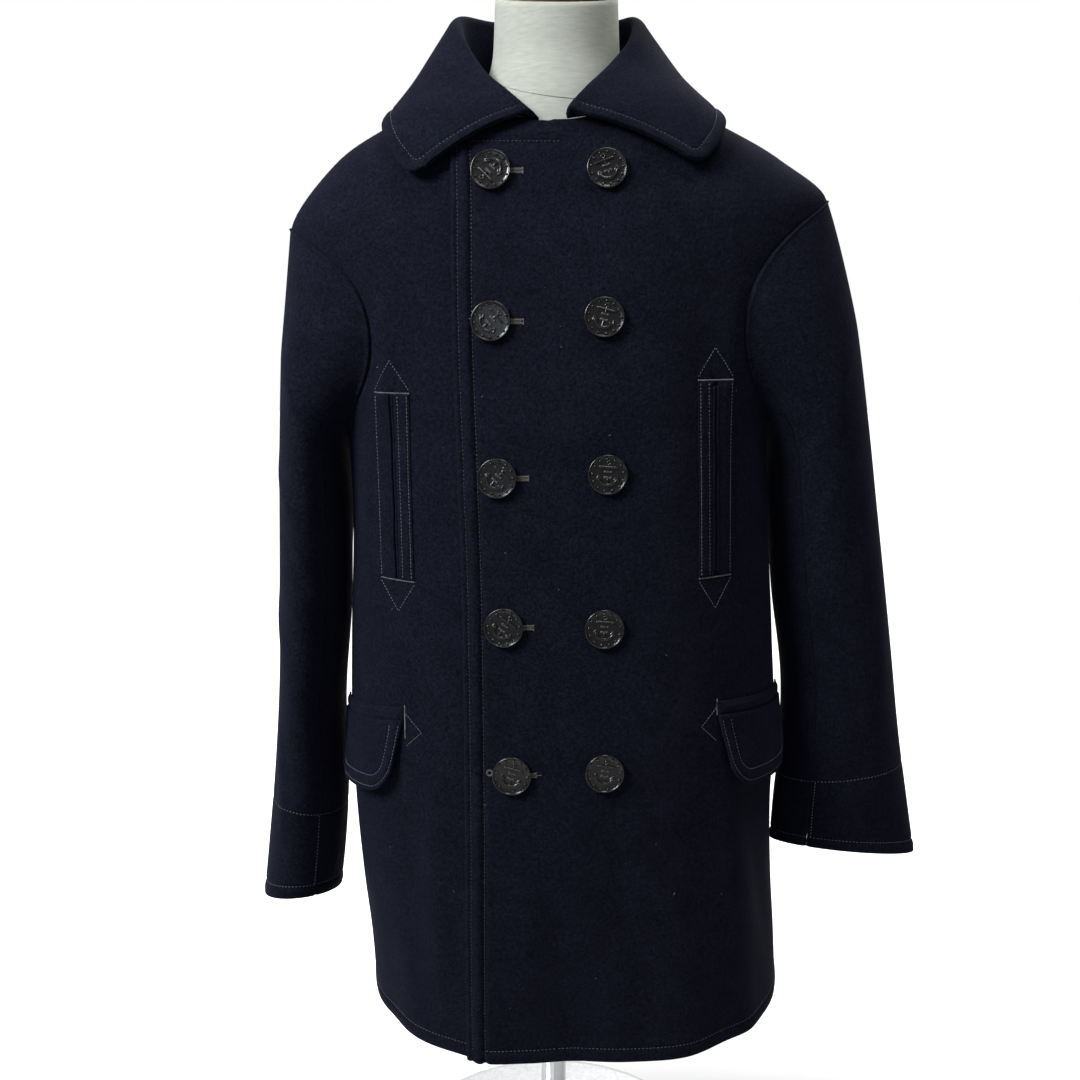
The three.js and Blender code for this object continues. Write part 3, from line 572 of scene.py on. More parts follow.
def tube(path, radius, sides=10):
    """A closed tube with round ends along a path, its radius a number or one for each point."""
    path = np.asarray(path, float)
    radius = np.broadcast_to(np.asarray(radius, float), (len(path),))
    tangent = unit(np.gradient(path, axis=0))
    ends = []
    for point, way, r in ((path[0], -tangent[0], radius[0]), (path[-1], tangent[-1], radius[-1])):
        ends.append([(point + way * r * 0.55, r * 0.83), (point + way * r, r * 0.02)])
    centres = [ends[0][1][0], ends[0][0][0], *path, ends[1][0][0], ends[1][1][0]]
    radii = [ends[0][1][1], ends[0][0][1], *radius, ends[1][0][1], ends[1][1][1]]
    ways = [tangent[0], tangent[0], *tangent, tangent[-1], tangent[-1]]
    side = unit(np.cross(tangent[0], [0.13, 0.27, 0.95]))
    points = []
    for centre, r, way in zip(centres, radii, ways):
        side = unit(side - way * np.dot(side, way))
        other = np.cross(way, side)
        turns = np.arange(sides) * 2 * math.pi / sides
        points += [centre + r * (side * math.cos(t) + other * math.sin(t)) for t in turns]
    return np.array(points), ring_faces(len(centres), sides)


def lathe(profile, sides=64):
    """A solid turned about Z from radius and height pairs, whose ends lie near the axis."""
    points = []
    for r, h in profile:
        for c in range(sides):
            t = 2 * math.pi * c / sides
            points.append([r * math.cos(t), r * math.sin(t), h])
    return np.array(points), ring_faces(len(profile), sides)


def join(parts):
    """Several point and face lists as one."""
    points, faces, start = [], [], 0
    for some_points, some_faces in parts:
        points.append(np.asarray(some_points))
        faces += [[start + i for i in f] for f in some_faces]
        start += len(some_points)
    return np.concatenate(points), faces


STITCH_RINGS = ((-0.72, 0.72), (0.0, 1.0), (0.72, 0.72))
STITCH_SIDES = 6


def stitch_shape():
    """One stitch of half-length, half-width and half-height 1: a bead that dips at both ends."""
    points = [[-1.0, 0.0, -0.9]]
    for along, size in STITCH_RINGS:
        for k in range(STITCH_SIDES):
            t = 2 * math.pi * k / STITCH_SIDES
            points.append([along, size * math.cos(t), size * math.sin(t) - 0.7 * along * along])
    points.append([1.0, 0.0, -0.9])
    faces = []
    for k in range(STITCH_SIDES):
        n = (k + 1) % STITCH_SIDES
        faces.append([0, 1 + n, 1 + k])
        for ring in range(len(STITCH_RINGS) - 1):
            a = 1 + ring * STITCH_SIDES
            faces.append([a + k, a + n, a + n + STITCH_SIDES, a + k + STITCH_SIDES])
        a = 1 + (len(STITCH_RINGS) - 1) * STITCH_SIDES
        faces.append([a + k, a + n, a + STITCH_SIDES])
    return np.array(points), faces


def stitches_at(centres, tangents, normals, length, width, height):
    """Many stitches as one list of points and faces."""
    shape, faces = stitch_shape()
    tangents = unit(tangents - normals * np.sum(tangents * normals, -1, keepdims=True))
    across = np.cross(normals, tangents)
    scaled = shape * np.array([length / 2, width / 2, height / 2])
    points = (
        centres[:, None, :]
        + scaled[None, :, 0:1] * tangents[:, None, :]
        + scaled[None, :, 1:2] * across[:, None, :]
        + scaled[None, :, 2:3] * normals[:, None, :]
    )
    starts = np.arange(len(centres)) * len(shape)
    made = []
    for f in faces:
        made += (starts[:, None] + np.array(f)[None, :]).tolist()
    return points.reshape(-1, 3), made


def resample(path, pitch):
    """Shares along a path of points at an even pitch, as floating indices."""
    steps = np.linalg.norm(np.diff(path, axis=0), axis=-1)
    run = np.concatenate([[0], np.cumsum(steps)])
    count = max(int(run[-1] / pitch), 2)
    return np.interp((np.arange(count) + 0.5) / count * run[-1], run, np.arange(len(path)))


def stitch_row(surface, u, v, pitch=3.3, length=2.2, width=0.5, height=0.5, out=0.12):
    """A row of stitches along a line on a surface, which gives points for two arrays and a height."""
    u, v = np.asarray(u, float), np.asarray(v, float)
    path = surface(u, v, out)
    at = resample(path, pitch)
    index = np.arange(len(u))
    uu, vv = np.interp(at, index, u), np.interp(at, index, v)
    step = 0.25 * pitch / max(np.linalg.norm(np.diff(path, axis=0), axis=-1).mean(), 1e-6)
    ahead = surface(np.interp(at + step, index, u), np.interp(at + step, index, v), out)
    behind = surface(np.interp(at - step, index, u), np.interp(at - step, index, v), out)
    centres = surface(uu, vv, out)
    raised = surface(uu, vv, out + 1.0)
    normals = unit(raised - centres)
    tangents = unit(ahead - behind)
    return stitches_at(centres, tangents, normals, length, width, height)


random = np.random.default_rng(SEED)

# ---- Materials ----


class Shader:
    """A material's nodes, added one by one."""

    def __init__(self, name, **sockets):
        self.material = bpy.data.materials.new(name)
        self.material.use_nodes = True
        self.tree = self.material.node_tree
        self.surface = self.tree.nodes["Principled BSDF"]
        self.set(self.surface, **sockets)
        self.place = self.tree.nodes.new("ShaderNodeTexCoord").outputs["Object"]

    def set(self, node, **sockets):
        for name, value in sockets.items():
            self.plug(node.inputs[name.replace("_", " ")], value)
        return node

    def plug(self, socket, value):
        if isinstance(value, bpy.types.NodeSocket):
            self.tree.links.new(value, socket)
        else:
            socket.default_value = value

    def node(self, kind, settings=None, **sockets):
        node = self.tree.nodes.new(kind)
        for name, value in (settings or {}).items():
            setattr(node, name, value)
        return self.set(node, **sockets)

    def noise(self, scale, detail=4.0, roughness=0.6, vector=None, stretch=None):
        vector = vector or self.place
        if stretch:
            vector = self.node("ShaderNodeMapping", Vector=vector, Scale=stretch).outputs["Vector"]
        node = self.node("ShaderNodeTexNoise", Vector=vector, Scale=scale, Detail=detail, Roughness=roughness)
        return node.outputs["Fac"]

    def ramp(self, value, *stops):
        node = self.node("ShaderNodeValToRGB", Fac=value)
        elements = node.color_ramp.elements
        while len(elements) < len(stops):
            elements.new(0.5)
        for element, (position, colour) in zip(elements, stops):
            element.position = position
            element.color = (*colour, 1.0)
        return node.outputs["Color"]

    def math(self, operation, a, b):
        node = self.tree.nodes.new("ShaderNodeMath")
        node.operation = operation
        for socket, value in zip(node.inputs, (a, b)):
            self.plug(socket, value)
        return node.outputs[0]

    def blend(self, kind, share, a, b):
        node = self.node("ShaderNodeMix", {"data_type": "RGBA", "blend_type": kind})
        for socket, value in ((node.inputs[0], share), (node.inputs[6], a), (node.inputs[7], b)):
            self.plug(socket, value)
        return node.outputs[2]

    def bump(self, height, strength, distance, below=None):
        node = self.node("ShaderNodeBump", Height=height, Strength=strength, Distance=distance)
        if below:
            self.tree.links.new(below, node.inputs["Normal"])
        return node.outputs["Normal"]


def wool_material():
    """Heavy melton: a felted navy face with fine fibres, a soft nap and a faint mottle."""
    s = Shader("wool", Roughness=0.95, Sheen_Weight=0.016, Sheen_Roughness=0.45)
    s.surface.inputs["Specular IOR Level"].default_value = 0.03
    s.surface.inputs["Sheen Tint"].default_value = (0.42, 0.47, 0.95, 1)
    fibre = s.noise(2100, 5, 0.7, stretch=(1.0, 1.0, 0.45))
    speck = s.noise(430, 4, 0.75)
    mottle = s.noise(38, 4, 0.55)
    base = s.ramp(fibre, (0.3, (0.0011, 0.00135, 0.0033)), (0.72, (0.0045, 0.0053, 0.0107)))
    dark = s.ramp(speck, (0.36, (0.4, 0.42, 0.46)), (0.5, (0.95, 0.95, 0.96)), (0.66, (1.75, 1.7, 1.6)))
    broad = s.ramp(mottle, (0.3, (0.8, 0.8, 0.84)), (0.7, (1.2, 1.17, 1.14)))
    colour = s.blend("MULTIPLY", 1.0, base, dark)
    colour = s.blend("MULTIPLY", 1.0, colour, broad)
    s.set(s.surface, Base_Color=colour)
    nap = s.bump(s.noise(330, 5, 0.72), 0.55, 0.0016)
    fine = s.bump(fibre, 0.5, 0.0005, nap)
    s.set(s.surface, Normal=fine)
    return s.material


def thread_material(name, dark, light):
    """Sewing thread: a twisted strand, a little uneven in colour along its length."""
    s = Shader(name, Roughness=0.6, Sheen_Weight=0.1)
    tone = s.noise(160, 3, 0.6)
    s.set(s.surface, Base_Color=s.ramp(tone, (0.3, dark), (0.7, light)))
    s.set(s.surface, Normal=s.bump(s.noise(3500, 2, 0.5, stretch=(1, 1, 3)), 0.4, 0.0002))
    return s.material


def button_material():
    """Black moulded horn-like plastic, its tone and polish uneven at random with wear."""
    s = Shader("button_black", Coat_Weight=0.08, Coat_Roughness=0.1)
    s.surface.inputs["Specular IOR Level"].default_value = 0.3
    wear = s.noise(420, 5, 0.65)
    s.set(s.surface, Base_Color=s.ramp(wear, (0.35, (0.0022, 0.0022, 0.0026)), (0.75, (0.006, 0.006, 0.007))))
    rough = s.node("ShaderNodeMapRange", Value=wear, To_Min=0.16, To_Max=0.3)
    s.set(s.surface, Roughness=rough.outputs["Result"])
    s.set(s.surface, Normal=s.bump(s.noise(1500, 3, 0.6), 0.08, 0.0003))
    return s.material


def linen_material():
    """Plain-woven off-white linen, slightly uneven, stretched over the form."""
    s = Shader("linen", Roughness=0.86, Sheen_Weight=0.12)
    s.surface.inputs["Specular IOR Level"].default_value = 0.25
    warp = s.node("ShaderNodeTexWave", {"bands_direction": "X"}, Vector=s.place, Scale=260.0, Distortion=0.6)
    weft = s.node("ShaderNodeTexWave", {"bands_direction": "Z"}, Vector=s.place, Scale=260.0, Distortion=0.6)
    weave = s.math("MULTIPLY", warp.outputs["Fac"], weft.outputs["Fac"])
    slub = s.noise(90, 4, 0.6, stretch=(1, 1, 6))
    base = s.ramp(slub, (0.3, (0.17, 0.182, 0.163)), (0.7, (0.215, 0.227, 0.203)))
    shade = s.ramp(weave, (0.0, (0.93, 0.93, 0.92)), (0.6, (1.03, 1.03, 1.03)))
    s.set(s.surface, Base_Color=s.blend("MULTIPLY", 1.0, base, shade))
    s.set(s.surface, Normal=s.bump(weave, 0.25, 0.0003))
    return s.material


def wood_material():
    """Oiled beech with rings seen from its end and grain down its side."""
    s = Shader("wood", Roughness=0.45, Coat_Weight=0.15, Coat_Roughness=0.3)
    rings = s.node(
        "ShaderNodeTexWave", {"wave_type": "RINGS"}, Vector=s.place, Scale=28.0, Distortion=3.5, Detail=3.0
    )
    grain = s.noise(55, 6, 0.65, stretch=(1, 1, 0.15))
    tone = s.math("MULTIPLY", rings.outputs["Fac"], grain)
    s.set(s.surface, Base_Color=s.ramp(tone, (0.1, (0.16, 0.075, 0.03)), (0.6, (0.36, 0.2, 0.09))))
    s.set(s.surface, Normal=s.bump(grain, 0.15, 0.0004))
    return s.material


def steel_material():
    """Satin metal, brushed round."""
    s = Shader("steel", Metallic=0.9, Base_Color=(0.62, 0.63, 0.64, 1))
    brush = s.noise(260, 5, 0.6, stretch=(1, 1, 14))
    rough = s.node("ShaderNodeMapRange", Value=brush, To_Min=0.28, To_Max=0.46)
    tone = s.ramp(brush, (0.3, (0.55, 0.56, 0.57)), (0.7, (0.68, 0.69, 0.7)))
    s.set(s.surface, Base_Color=tone, Roughness=rough.outputs["Result"])
    s.set(s.surface, Normal=s.bump(brush, 0.08, 0.0002))
    return s.material


WOOL = wool_material()
THREAD = thread_material("thread_grey", (0.03, 0.033, 0.042), (0.095, 0.096, 0.104))
NAVY_THREAD = thread_material("thread_edge", (0.003, 0.004, 0.007), (0.009, 0.0105, 0.016))
BLUE_THREAD = thread_material("thread_blue", (0.014, 0.0155, 0.024), (0.05, 0.053, 0.068))
SILK = thread_material("thread_silk", (0.024, 0.021, 0.018), (0.066, 0.06, 0.05))
# The near-black here is the navy of the button threads, and also painted shade: dark discs in the button
# holes and dark cords in the buttonhole slits, where there is only shade.
DARK_THREAD_AND_SHADE = thread_material("thread_navy_and_painted_shade", (0.001, 0.001, 0.0014), (0.003, 0.003, 0.004))
BUTTON = button_material()
SPECK = thread_material("thread_lint", (0.04, 0.04, 0.045), (0.11, 0.11, 0.115))
SEAM_SHADE = thread_material("thread_seam", (0.09, 0.085, 0.075), (0.19, 0.18, 0.16))
LINEN = linen_material()
WOOD = wood_material()
STEEL = steel_material()


# ---- Fronts and back ----

SEAM_DIP = 0.7
HEM_STITCH = 11.5
EDGE_STITCHES = (4.0, 15.0)
FINE_COLUMNS = np.arange(0, 22, 0.9)
HEM_ROWS = np.concatenate([np.arange(0, 20, 1.3), np.arange(20, 104, 3.2)])
VENT_REACH = 104.0
YOKE = 1000.0  # above this level the rows of a front are spread up to its upper edge


def near_side(angle):
    """The distance from the nearer side seam at the hem, in millimetres."""
    here = body_surface(angle, np.full(np.shape(angle), HEM))
    seam = body_surface(np.where(turn_to(angle) < 0, -SIDE, SIDE), np.full(np.shape(angle), HEM))
    return np.linalg.norm(here - seam, axis=-1)


def vent_rise(near):
    """How far the round corner lifts the hem."""
    into = np.clip(1 - near / VENT_RADIUS, 0, 1)
    return VENT_RADIUS * (1 - np.sqrt(1 - into * into))


def from_hem(near, height):
    """The distance from a panel's lower edge, round its corner and up its vent."""
    corner = VENT_RADIUS - np.hypot(VENT_RADIUS - near, VENT_RADIUS - height)
    low = np.where(near < VENT_RADIUS, corner, height)
    up = np.where(height < VENT_HEIGHT, near, 1e3)
    return np.where(height < VENT_RADIUS, low, np.minimum(up, height))


def hem_relief(distance):
    return 0.75 * bump(distance - 6, 4) - 0.7 * bump(distance - HEM_STITCH, 1.5)


def edge_relief(distance):
    near, far = EDGE_STITCHES
    groove = 0.6 * bump(distance - near, 1.3) + 1.7 * bump(distance - far, 1.9)
    return 1.3 * bump(distance - 9.5, 3.8) + 0.5 * bump(distance - 1.5, 1.5) - groove


def body_levels():
    skirt = np.arange(HEM + VENT_REACH, UNDERARM - 4, 4.6)
    armhole = mix(UNDERARM, SHOULDER_TIP, (1 - np.cos(np.linspace(0, np.pi, 60))) / 2)
    yoke = np.linspace(SHOULDER_TIP, NECK, 27)[1:]
    return np.concatenate([HEM + HEM_ROWS, skirt, armhole, yoke])


def front_top(angle, hand):
    """The level of a front's upper edge: the neckline, and a straight edge across its overlap."""
    height = NECK_EDGE_Z if hand > 0 else NECK_EDGE_Z - 6
    low, high = np.full(angle.shape, 960.0), np.full(angle.shape, NECK + 12)
    flat = bisect(lambda l: body_surface(angle, l)[..., 2], low, high, height)
    return np.where(hand * angle >= 0, NECK, flat)


def above_vent(levels, rise):
    """The levels moved up over the round corner, and unmoved above the vent."""
    above = levels - HEM
    return np.where(above < VENT_REACH, HEM + rise + above * (VENT_REACH - rise) / VENT_REACH, levels)


def panel_wall(name, angle, level, detail, from_side, lifted=0.0):
    """A panel's cloth, its side seam drawn in above the vent."""
    sewn = level > HEM + VENT_HEIGHT
    detail = detail - SEAM_DIP * bump(from_side, 2.2) * np.where(sewn, 1.0, 0.0)
    outer = body_point(angle, level, lifted + detail)
    inner = body_point(angle, level, lifted - CLOTH)
    return cloth(name, outer, inner, WOOL, [name], np.where((from_side < 0.5) & sewn, 0.15, 0.9))


def side_shares():
    """Shares of the way from a front's fine columns to the side seam, closer together near the seam."""
    wide = np.linspace(0, 0.8, 52)
    close = 0.8 + 0.2 * (1 - (1 - np.linspace(0, 1, 34)[1:]) ** 1.5)
    return np.concatenate([wide, close])


def front_columns(hand, level, edge_table):
    """The angles of a front's columns at one level, from its edge to its side, in its own hand."""
    edge_x = row_at(edge_table, np.minimum(level, EDGE_TABLES_TOP))["x"]
    sign = 1 if edge_table is LAP_EDGE else -1
    fine = np.array([angle_at(edge_x + sign * d, level) for d in FINE_COLUMNS])
    side = hand * (SIDE - SEAM_ANGLE - armhole_cut(level, ARMHOLE_FRONT))
    rest = np.array([mix(fine[-1], side, t) for t in side_shares()[1:]])
    return np.concatenate([fine, rest])


def pocket_recess(x, z, hand):
    """The slit between a hand pocket's welts."""
    pocket = HAND_POCKETS["left" if hand > 0 else "right"]
    (bx, bz), (tx, tz) = pocket["bottom"], pocket["top"]
    slit = [np.array([v]) for v in (bx, bz, tx, tz, 2.8, -2.6)]
    return relief(x, z, slit, keep=1.0)


def front_panel(name, hand, edge_table, lift):
    levels = body_levels()
    capped = np.minimum(levels, EDGE_TABLES_TOP)
    guess = np.stack([front_columns(hand, level, edge_table) for level in capped])
    top = front_top(guess, hand)
    levels = levels[:, None]
    own = np.where(levels <= YOKE, levels, mix(YOKE, top, (levels - YOKE) / (NECK - YOKE)))
    edge_x = row_at(edge_table, np.minimum(own, EDGE_TABLES_TOP))["x"]
    sign = 1 if edge_table is LAP_EDGE else -1
    count = len(FINE_COLUMNS)
    fine = angle_at(edge_x[:, :count] + sign * FINE_COLUMNS[None, :], own[:, :count])
    side = hand * (SIDE - SEAM_ANGLE - armhole_cut(own, ARMHOLE_FRONT))
    shares = side_shares()[1:]
    start = fine[:, -1:]
    rest = mix(start, side[:, len(FINE_COLUMNS) :], shares[None, :])
    angle = np.concatenate([fine, rest], 1)
    near = near_side(angle)
    rise = np.where(hand * angle > 0, vent_rise(near), 0)
    level = above_vent(own, rise)
    base_point = body_surface(angle, level)
    x, z = base_point[..., 0], base_point[..., 2]
    from_edge = np.abs(x - edge_x)
    radius = np.hypot(x, base_point[..., 1])
    from_side = np.abs(side - angle) * radius
    hem = from_hem(np.where(hand * angle > 0, near, 1e3), level - HEM)
    detail = hem_relief(hem)
    if edge_table is LAP_EDGE:
        detail = detail + edge_relief(from_edge)
        from_top = np.where(angle < 0.08, np.abs(NECK_EDGE_Z - z), 50)
        detail = detail + edge_relief(from_top) * 0.8
    return panel_wall(name, angle, level, detail + pocket_recess(x, z, hand), from_side, lift(angle))


def back_panel():
    levels = body_levels()[:, None]
    half = np.concatenate([0.2 * np.linspace(0, 1, 34) ** 1.5, np.linspace(0.2, 0.5, 26)[1:]])
    shares = np.concatenate([half, 1 - half[-2::-1]])[None, :]
    side = SIDE + SEAM_ANGLE + armhole_cut(levels, ARMHOLE_BACK)
    angle = turn_to(mix(side, 2 * math.pi - side, shares))
    angle = np.where(angle < 0, angle + 2 * math.pi, angle)
    near = near_side(angle)
    level = above_vent(levels, vent_rise(near))
    p = body_surface(angle, level)
    from_side = np.minimum(angle - side, 2 * math.pi - side - angle) * np.hypot(p[..., 0], p[..., 1])
    return panel_wall("back", angle, level, hem_relief(from_hem(near, level - HEM)), from_side)


# ---- Sleeves ----

TUCK = 1.8
SEAM_RADIUS, ARMHOLE_RADIUS = 70.0, 85.0  # rough radii of a sleeve that turn a gap into an angle
CUFF_STITCH = 12.0
CUFF_RING = 90.0


def armhole_edge(hand, turn, inward=0.0, outside=SEAM_GAP + 0.1):
    level = mix(UNDERARM, SHOULDER_TIP, (1 + np.cos(turn)) / 2)
    level = mix(level, (UNDERARM + SHOULDER_TIP) / 2, inward)
    reach = np.where(np.sin(turn) > 0, ARMHOLE_FRONT, ARMHOLE_BACK)
    angle = SIDE - reach * np.sin(turn) * (1 - inward)
    return body_point(hand * angle, level, outside)


def sleeve_surface(side, turn, share):
    hand = HAND[side]
    s = row_at(SLEEVES[side], share)
    out, y = np.cos(turn), -np.sin(turn)
    x = mix(s["innerX"], s["outerX"], (1 + out) / 2)
    z = mix(s["innerZ"], s["outerZ"], (1 + out) / 2)
    section = np.stack(np.broadcast_arrays(hand * x, s["midY"] + y * s["depth"], z - y * s["rise"]), -1)
    edge = armhole_edge(hand, turn + 0 * share)
    return mix(edge, section, smooth(0, 0.2, share + 0 * turn)[..., None])


def sleeve_normal(side, turn, share):
    hand = HAND[side]
    surface = lambda u, v: sleeve_surface(side, u, v)
    return normal_of(surface, turn, np.maximum(share, 0.012), 0.02, 0.008) * hand


def sleeve_detail(side, turn, share):
    scales = [SLEEVE_RADIUS, SLEEVE_LENGTH, SLEEVE_RADIUS, SLEEVE_LENGTH, 1, 1]
    columns = [column * scale for column, scale in zip(SLEEVE_CREASES[side].values(), scales)]
    height = 0
    for shift in (-2 * math.pi, 0, 2 * math.pi):
        height = height + relief((turn + shift) * SLEEVE_RADIUS, share * SLEEVE_LENGTH, columns)
    from_cuff = (1 - share) * SLEEVE_LENGTH
    height = height + 0.6 * bump(from_cuff - 6, 4) - 0.7 * bump(from_cuff - CUFF_STITCH, 1.6)
    height = height - 0.5 * bump(from_cuff - CUFF_RING, 1.8)
    from_armhole = share * SLEEVE_LENGTH
    height = height * smooth(0, 0.05, share)
    height = height + 1.3 * bump(from_armhole - 10, 8) - 0.2 * bump(from_armhole, 2.5)
    for seam in (SLEEVE_FRONT_SEAM, SLEEVE_BACK_SEAM):
        away = np.abs(turn_to(turn - seam * SLEEVE_TURN)) * SLEEVE_RADIUS
        height = height - 1.0 * bump(away, 2.0)
    return height


def sleeve_point(side, turn, share, outside=0.0):
    height = np.asarray(sleeve_detail(side, turn, share) + outside)[..., None]
    return sleeve_surface(side, turn, share) + sleeve_normal(side, turn, share) * height


def sleeve_piece(side, part, from_point, to_point):
    hand = HAND[side]
    seam = SEAM_GAP / 2 / SEAM_RADIUS
    columns = 8 * (to_point - from_point)
    u = np.linspace(0, 1, columns + 1)
    u = 0.5 - 0.5 * np.cos(np.pi * u) * 0.35 - 0.65 * (0.5 - u)
    u = (u - u[0]) / (u[-1] - u[0])
    turn = mix(from_point * SLEEVE_TURN + seam, to_point * SLEEVE_TURN - seam, u)[None, :]
    share = spans((0, 0.06, 15), (0.06, 0.965, 118), (0.965, 1, 18))[:, None]
    turn, share = np.broadcast_arrays(turn, share)
    outer = sleeve_point(side, turn, share)
    outer[0] = armhole_edge(hand, turn[0], -TUCK / ARMHOLE_RADIUS, -1.6)
    wall = sleeve_surface(side, turn, share) - sleeve_normal(side, turn, share) * CLOTH
    start = armhole_edge(hand, turn, CLOTH / ARMHOLE_RADIUS)
    inner = mix(start, wall, smooth(0, 0.035, share)[..., None])
    name = f"sleeve_{side}_{part}"
    roundness = np.where(share > 0.999, 0.9, 0.1)
    return cloth(name, outer, inner, WOOL, [name], roundness)


# ---- Collar ----

STAND_END, FOLD_END = 0.26, 0.44
COLLAR_CORNER = 13.0
COLLAR_STITCH = 8.0


def collar_middle(station, across):
    """The collar's middle face: station along it, and share across it from the neckline to its outer edge."""
    s = row_at(COLLAR, station)
    own = turn_to(s["angle"])
    middle_of_wall = -CLOTH / 2 + np.where(own > 0, lap_lift(own), 0)
    neck = body_point(s["angle"], np.full(np.shape(own), NECK), middle_of_wall)
    neck = neck + np.array([0, 0, NECK_SEAM_RISE])
    roll = np.stack([s["rollX"], s["rollY"], s["rollZ"]], -1)
    edge = body_point(s["edgeAngle"], s["edgeLevel"], s["out"])
    out = unit((edge - roll) * np.array([1, 1, 0]))
    fold = s["fold"][..., None]
    over = roll + out * 2 * fold
    up, down = unit(roll - neck), unit(edge - over)
    a = np.asarray(across)[..., None] + 0 * fold
    stand = mix(neck, roll, a / STAND_END)
    t = np.clip((a - STAND_END) / (FOLD_END - STAND_END), 0, 1)
    reach = fold * 4 / 3
    curve = (
        (1 - t) ** 3 * roll
        + 3 * t * (1 - t) ** 2 * (roll + up * reach)
        + 3 * t * t * (1 - t) * (over - down * reach)
        + t**3 * over
    )
    t = (a - FOLD_END) / (1 - FOLD_END)
    sideways = np.stack([-out[..., 1], out[..., 0], 0 * out[..., 0]], -1)
    arch = np.cross(down, sideways)
    arch = arch * np.sign(np.sum(arch * out, -1, keepdims=True))
    fall = mix(over, edge, t) + arch * s["bulge"][..., None] * 4 * t * (1 - t)
    return np.where(a <= STAND_END, stand, np.where(a < FOLD_END, curve, fall))


def collar_sizes(station):
    """The length of the fall and of one station, in millimetres, at a station."""
    edge, fold = (collar_middle(station, across + 0 * station) for across in (1.0, FOLD_END))
    after, before = (np.clip(station + step, 0, 12) for step in (0.05, -0.05))
    near, far = (collar_middle(at, 0.98 + 0 * station) for at in (after, before))
    return np.linalg.norm(edge - fold, axis=-1), np.linalg.norm(near - far, axis=-1) / (after - before)


def collar_end_lengths():
    """The millimetres of one station near each end."""
    return [collar_sizes(np.array([s]))[1][0] for s in (0.2, 11.8)]


def collar_edges(station, across):
    """Distances from the collar's outer edge and from its nearer end."""
    fall, _ = collar_sizes(station)
    outer = (1 - across) / (1 - FOLD_END) * fall
    ends = collar_end_lengths()
    end = np.minimum(station * ends[0], (12 - station) * ends[1])
    return outer, end


def collar_detail(station, across):
    outer, end = collar_edges(station, across)
    end = np.where(across > 0.36, end, 60)
    distance = np.minimum(outer, end)
    inner = np.clip(COLLAR_CORNER - outer, 0, None), np.clip(COLLAR_CORNER - end, 0, None)
    rounded = COLLAR_CORNER - np.hypot(*inner)
    distance = np.where((outer < COLLAR_CORNER) & (end < COLLAR_CORNER), rounded, distance)
    puff = 0.7 * bump(distance - 3.5, 3.5) - 0.75 * bump(distance - COLLAR_STITCH, 1.6)
    wave = 0.9 * np.sin(station * 2.3 + 0.6) * np.sin(across * 5.1) * smooth(0.45, 0.7, across)
    return puff + wave


def collar_off(station, across, height, side=1):
    """A point off the collar's middle face, half its wall and a height to one side of it."""
    normal = normal_of(collar_middle, np.clip(station, 0.02, 11.98), np.clip(across, 0.01, 0.985), 0.02, 0.01)
    thick = mix(NECK_SEAM_CLOTH, COLLAR_CLOTH, smooth(0, 0.22, across)) / 2
    return collar_middle(station, across) + side * normal * np.asarray(thick + height)[..., None]


def collar_point(station, across, outside=0.0):
    return collar_off(station, across, collar_detail(station, across) + outside)


def collar_piece():
    ends = 0.5 * (1 - np.cos(np.linspace(0, np.pi / 2, 16)))
    station = np.concatenate([ends, np.linspace(0.5, 11.5, 170)[1:-1], 12 - ends[::-1]])
    across = spans((0, STAND_END, 9), (STAND_END, FOLD_END, 15), (FOLD_END, 0.86, 16), (0.86, 1, 18))
    station, across = np.meshgrid(station, across, indexing="ij")
    fall, _ = collar_sizes(station)
    _, end = collar_edges(station, across)
    into = np.clip(1 - end / COLLAR_CORNER, 0, 1)
    cut = COLLAR_CORNER * (1 - np.sqrt(1 - into * into)) / fall * (1 - FOLD_END)
    across = np.where(across > 0.5, 0.5 + (across - 0.5) * (0.5 - cut) / 0.5, across)
    outer = collar_point(station, across)
    inner = collar_off(station, across, 0.0, -1)
    return cloth("collar", outer, inner, WOOL, ["collar"], np.where(across < 0.005, 0.1, 0.95))


# ---- What lies on the fronts ----


def front_xz(x, z, outside):
    """A point on the fronts by its distance from the middle and its height."""
    angle, level = place_on_front(x, z)
    return on_front(angle, level, outside)


def seats(x, z, out):
    """Places on the fronts for stitches, a little off the cloth, and the cloth's normals there."""
    angle, level = place_on_front(x, z)
    centres = on_front(angle, level, out + 0 * angle)
    return centres, unit(on_front(angle, level, out + 1 + 0 * angle) - centres)


def pocket_frame(pocket, across, along):
    """Distance from the middle and height, from millimetres across the slit, away from the middle."""
    (bx, bz), (tx, tz) = pocket["bottom"], pocket["top"]
    length = math.hypot(tx - bx, tz - bz)
    share = np.asarray(along) / length + 0.5
    return mix(bx, tx, share) + pocket["hand"] * across, mix(bz, tz, share)


def pocket_half(pocket):
    (bx, bz), (tx, tz) = pocket["bottom"], pocket["top"]
    return math.hypot(tx - bx, tz - bz) / 2


def pocket_welt(side, which):
    pocket = HAND_POCKETS[side]
    half = pocket_half(pocket)
    outward_side = 1 if which == "outer" else -1
    u = np.linspace(0, 1, 15)[None, :]
    v = np.linspace(-1, 1, 60)[:, None]
    u, v = np.broadcast_arrays(u, v)
    x, z = pocket_frame(pocket, outward_side * (SLIT_WIDTH / 2 + u * WELT_WIDTH), v * half)
    angle, level = place_on_front(x, z)
    ends = np.minimum(u, 1 - u) * WELT_WIDTH
    tips = (1 - np.abs(v)) * half
    swell = WELT_CLOTH * (0.55 + 0.45 * smooth(0, 3.0, np.minimum(ends, tips)))
    groove = 0.45 * bump((1 - u) * WELT_WIDTH - 1.6, 0.8) + 0.45 * bump(u * WELT_WIDTH - 3.4, 0.8)
    outer = on_front(angle, level, SEAT_GAP + swell - groove)
    inner = on_front(angle, level, SEAT_GAP + 0 * u)
    name = f"welt_{side}_{which}"
    return cloth(name, outer, inner, WOOL, [name], 0.6)


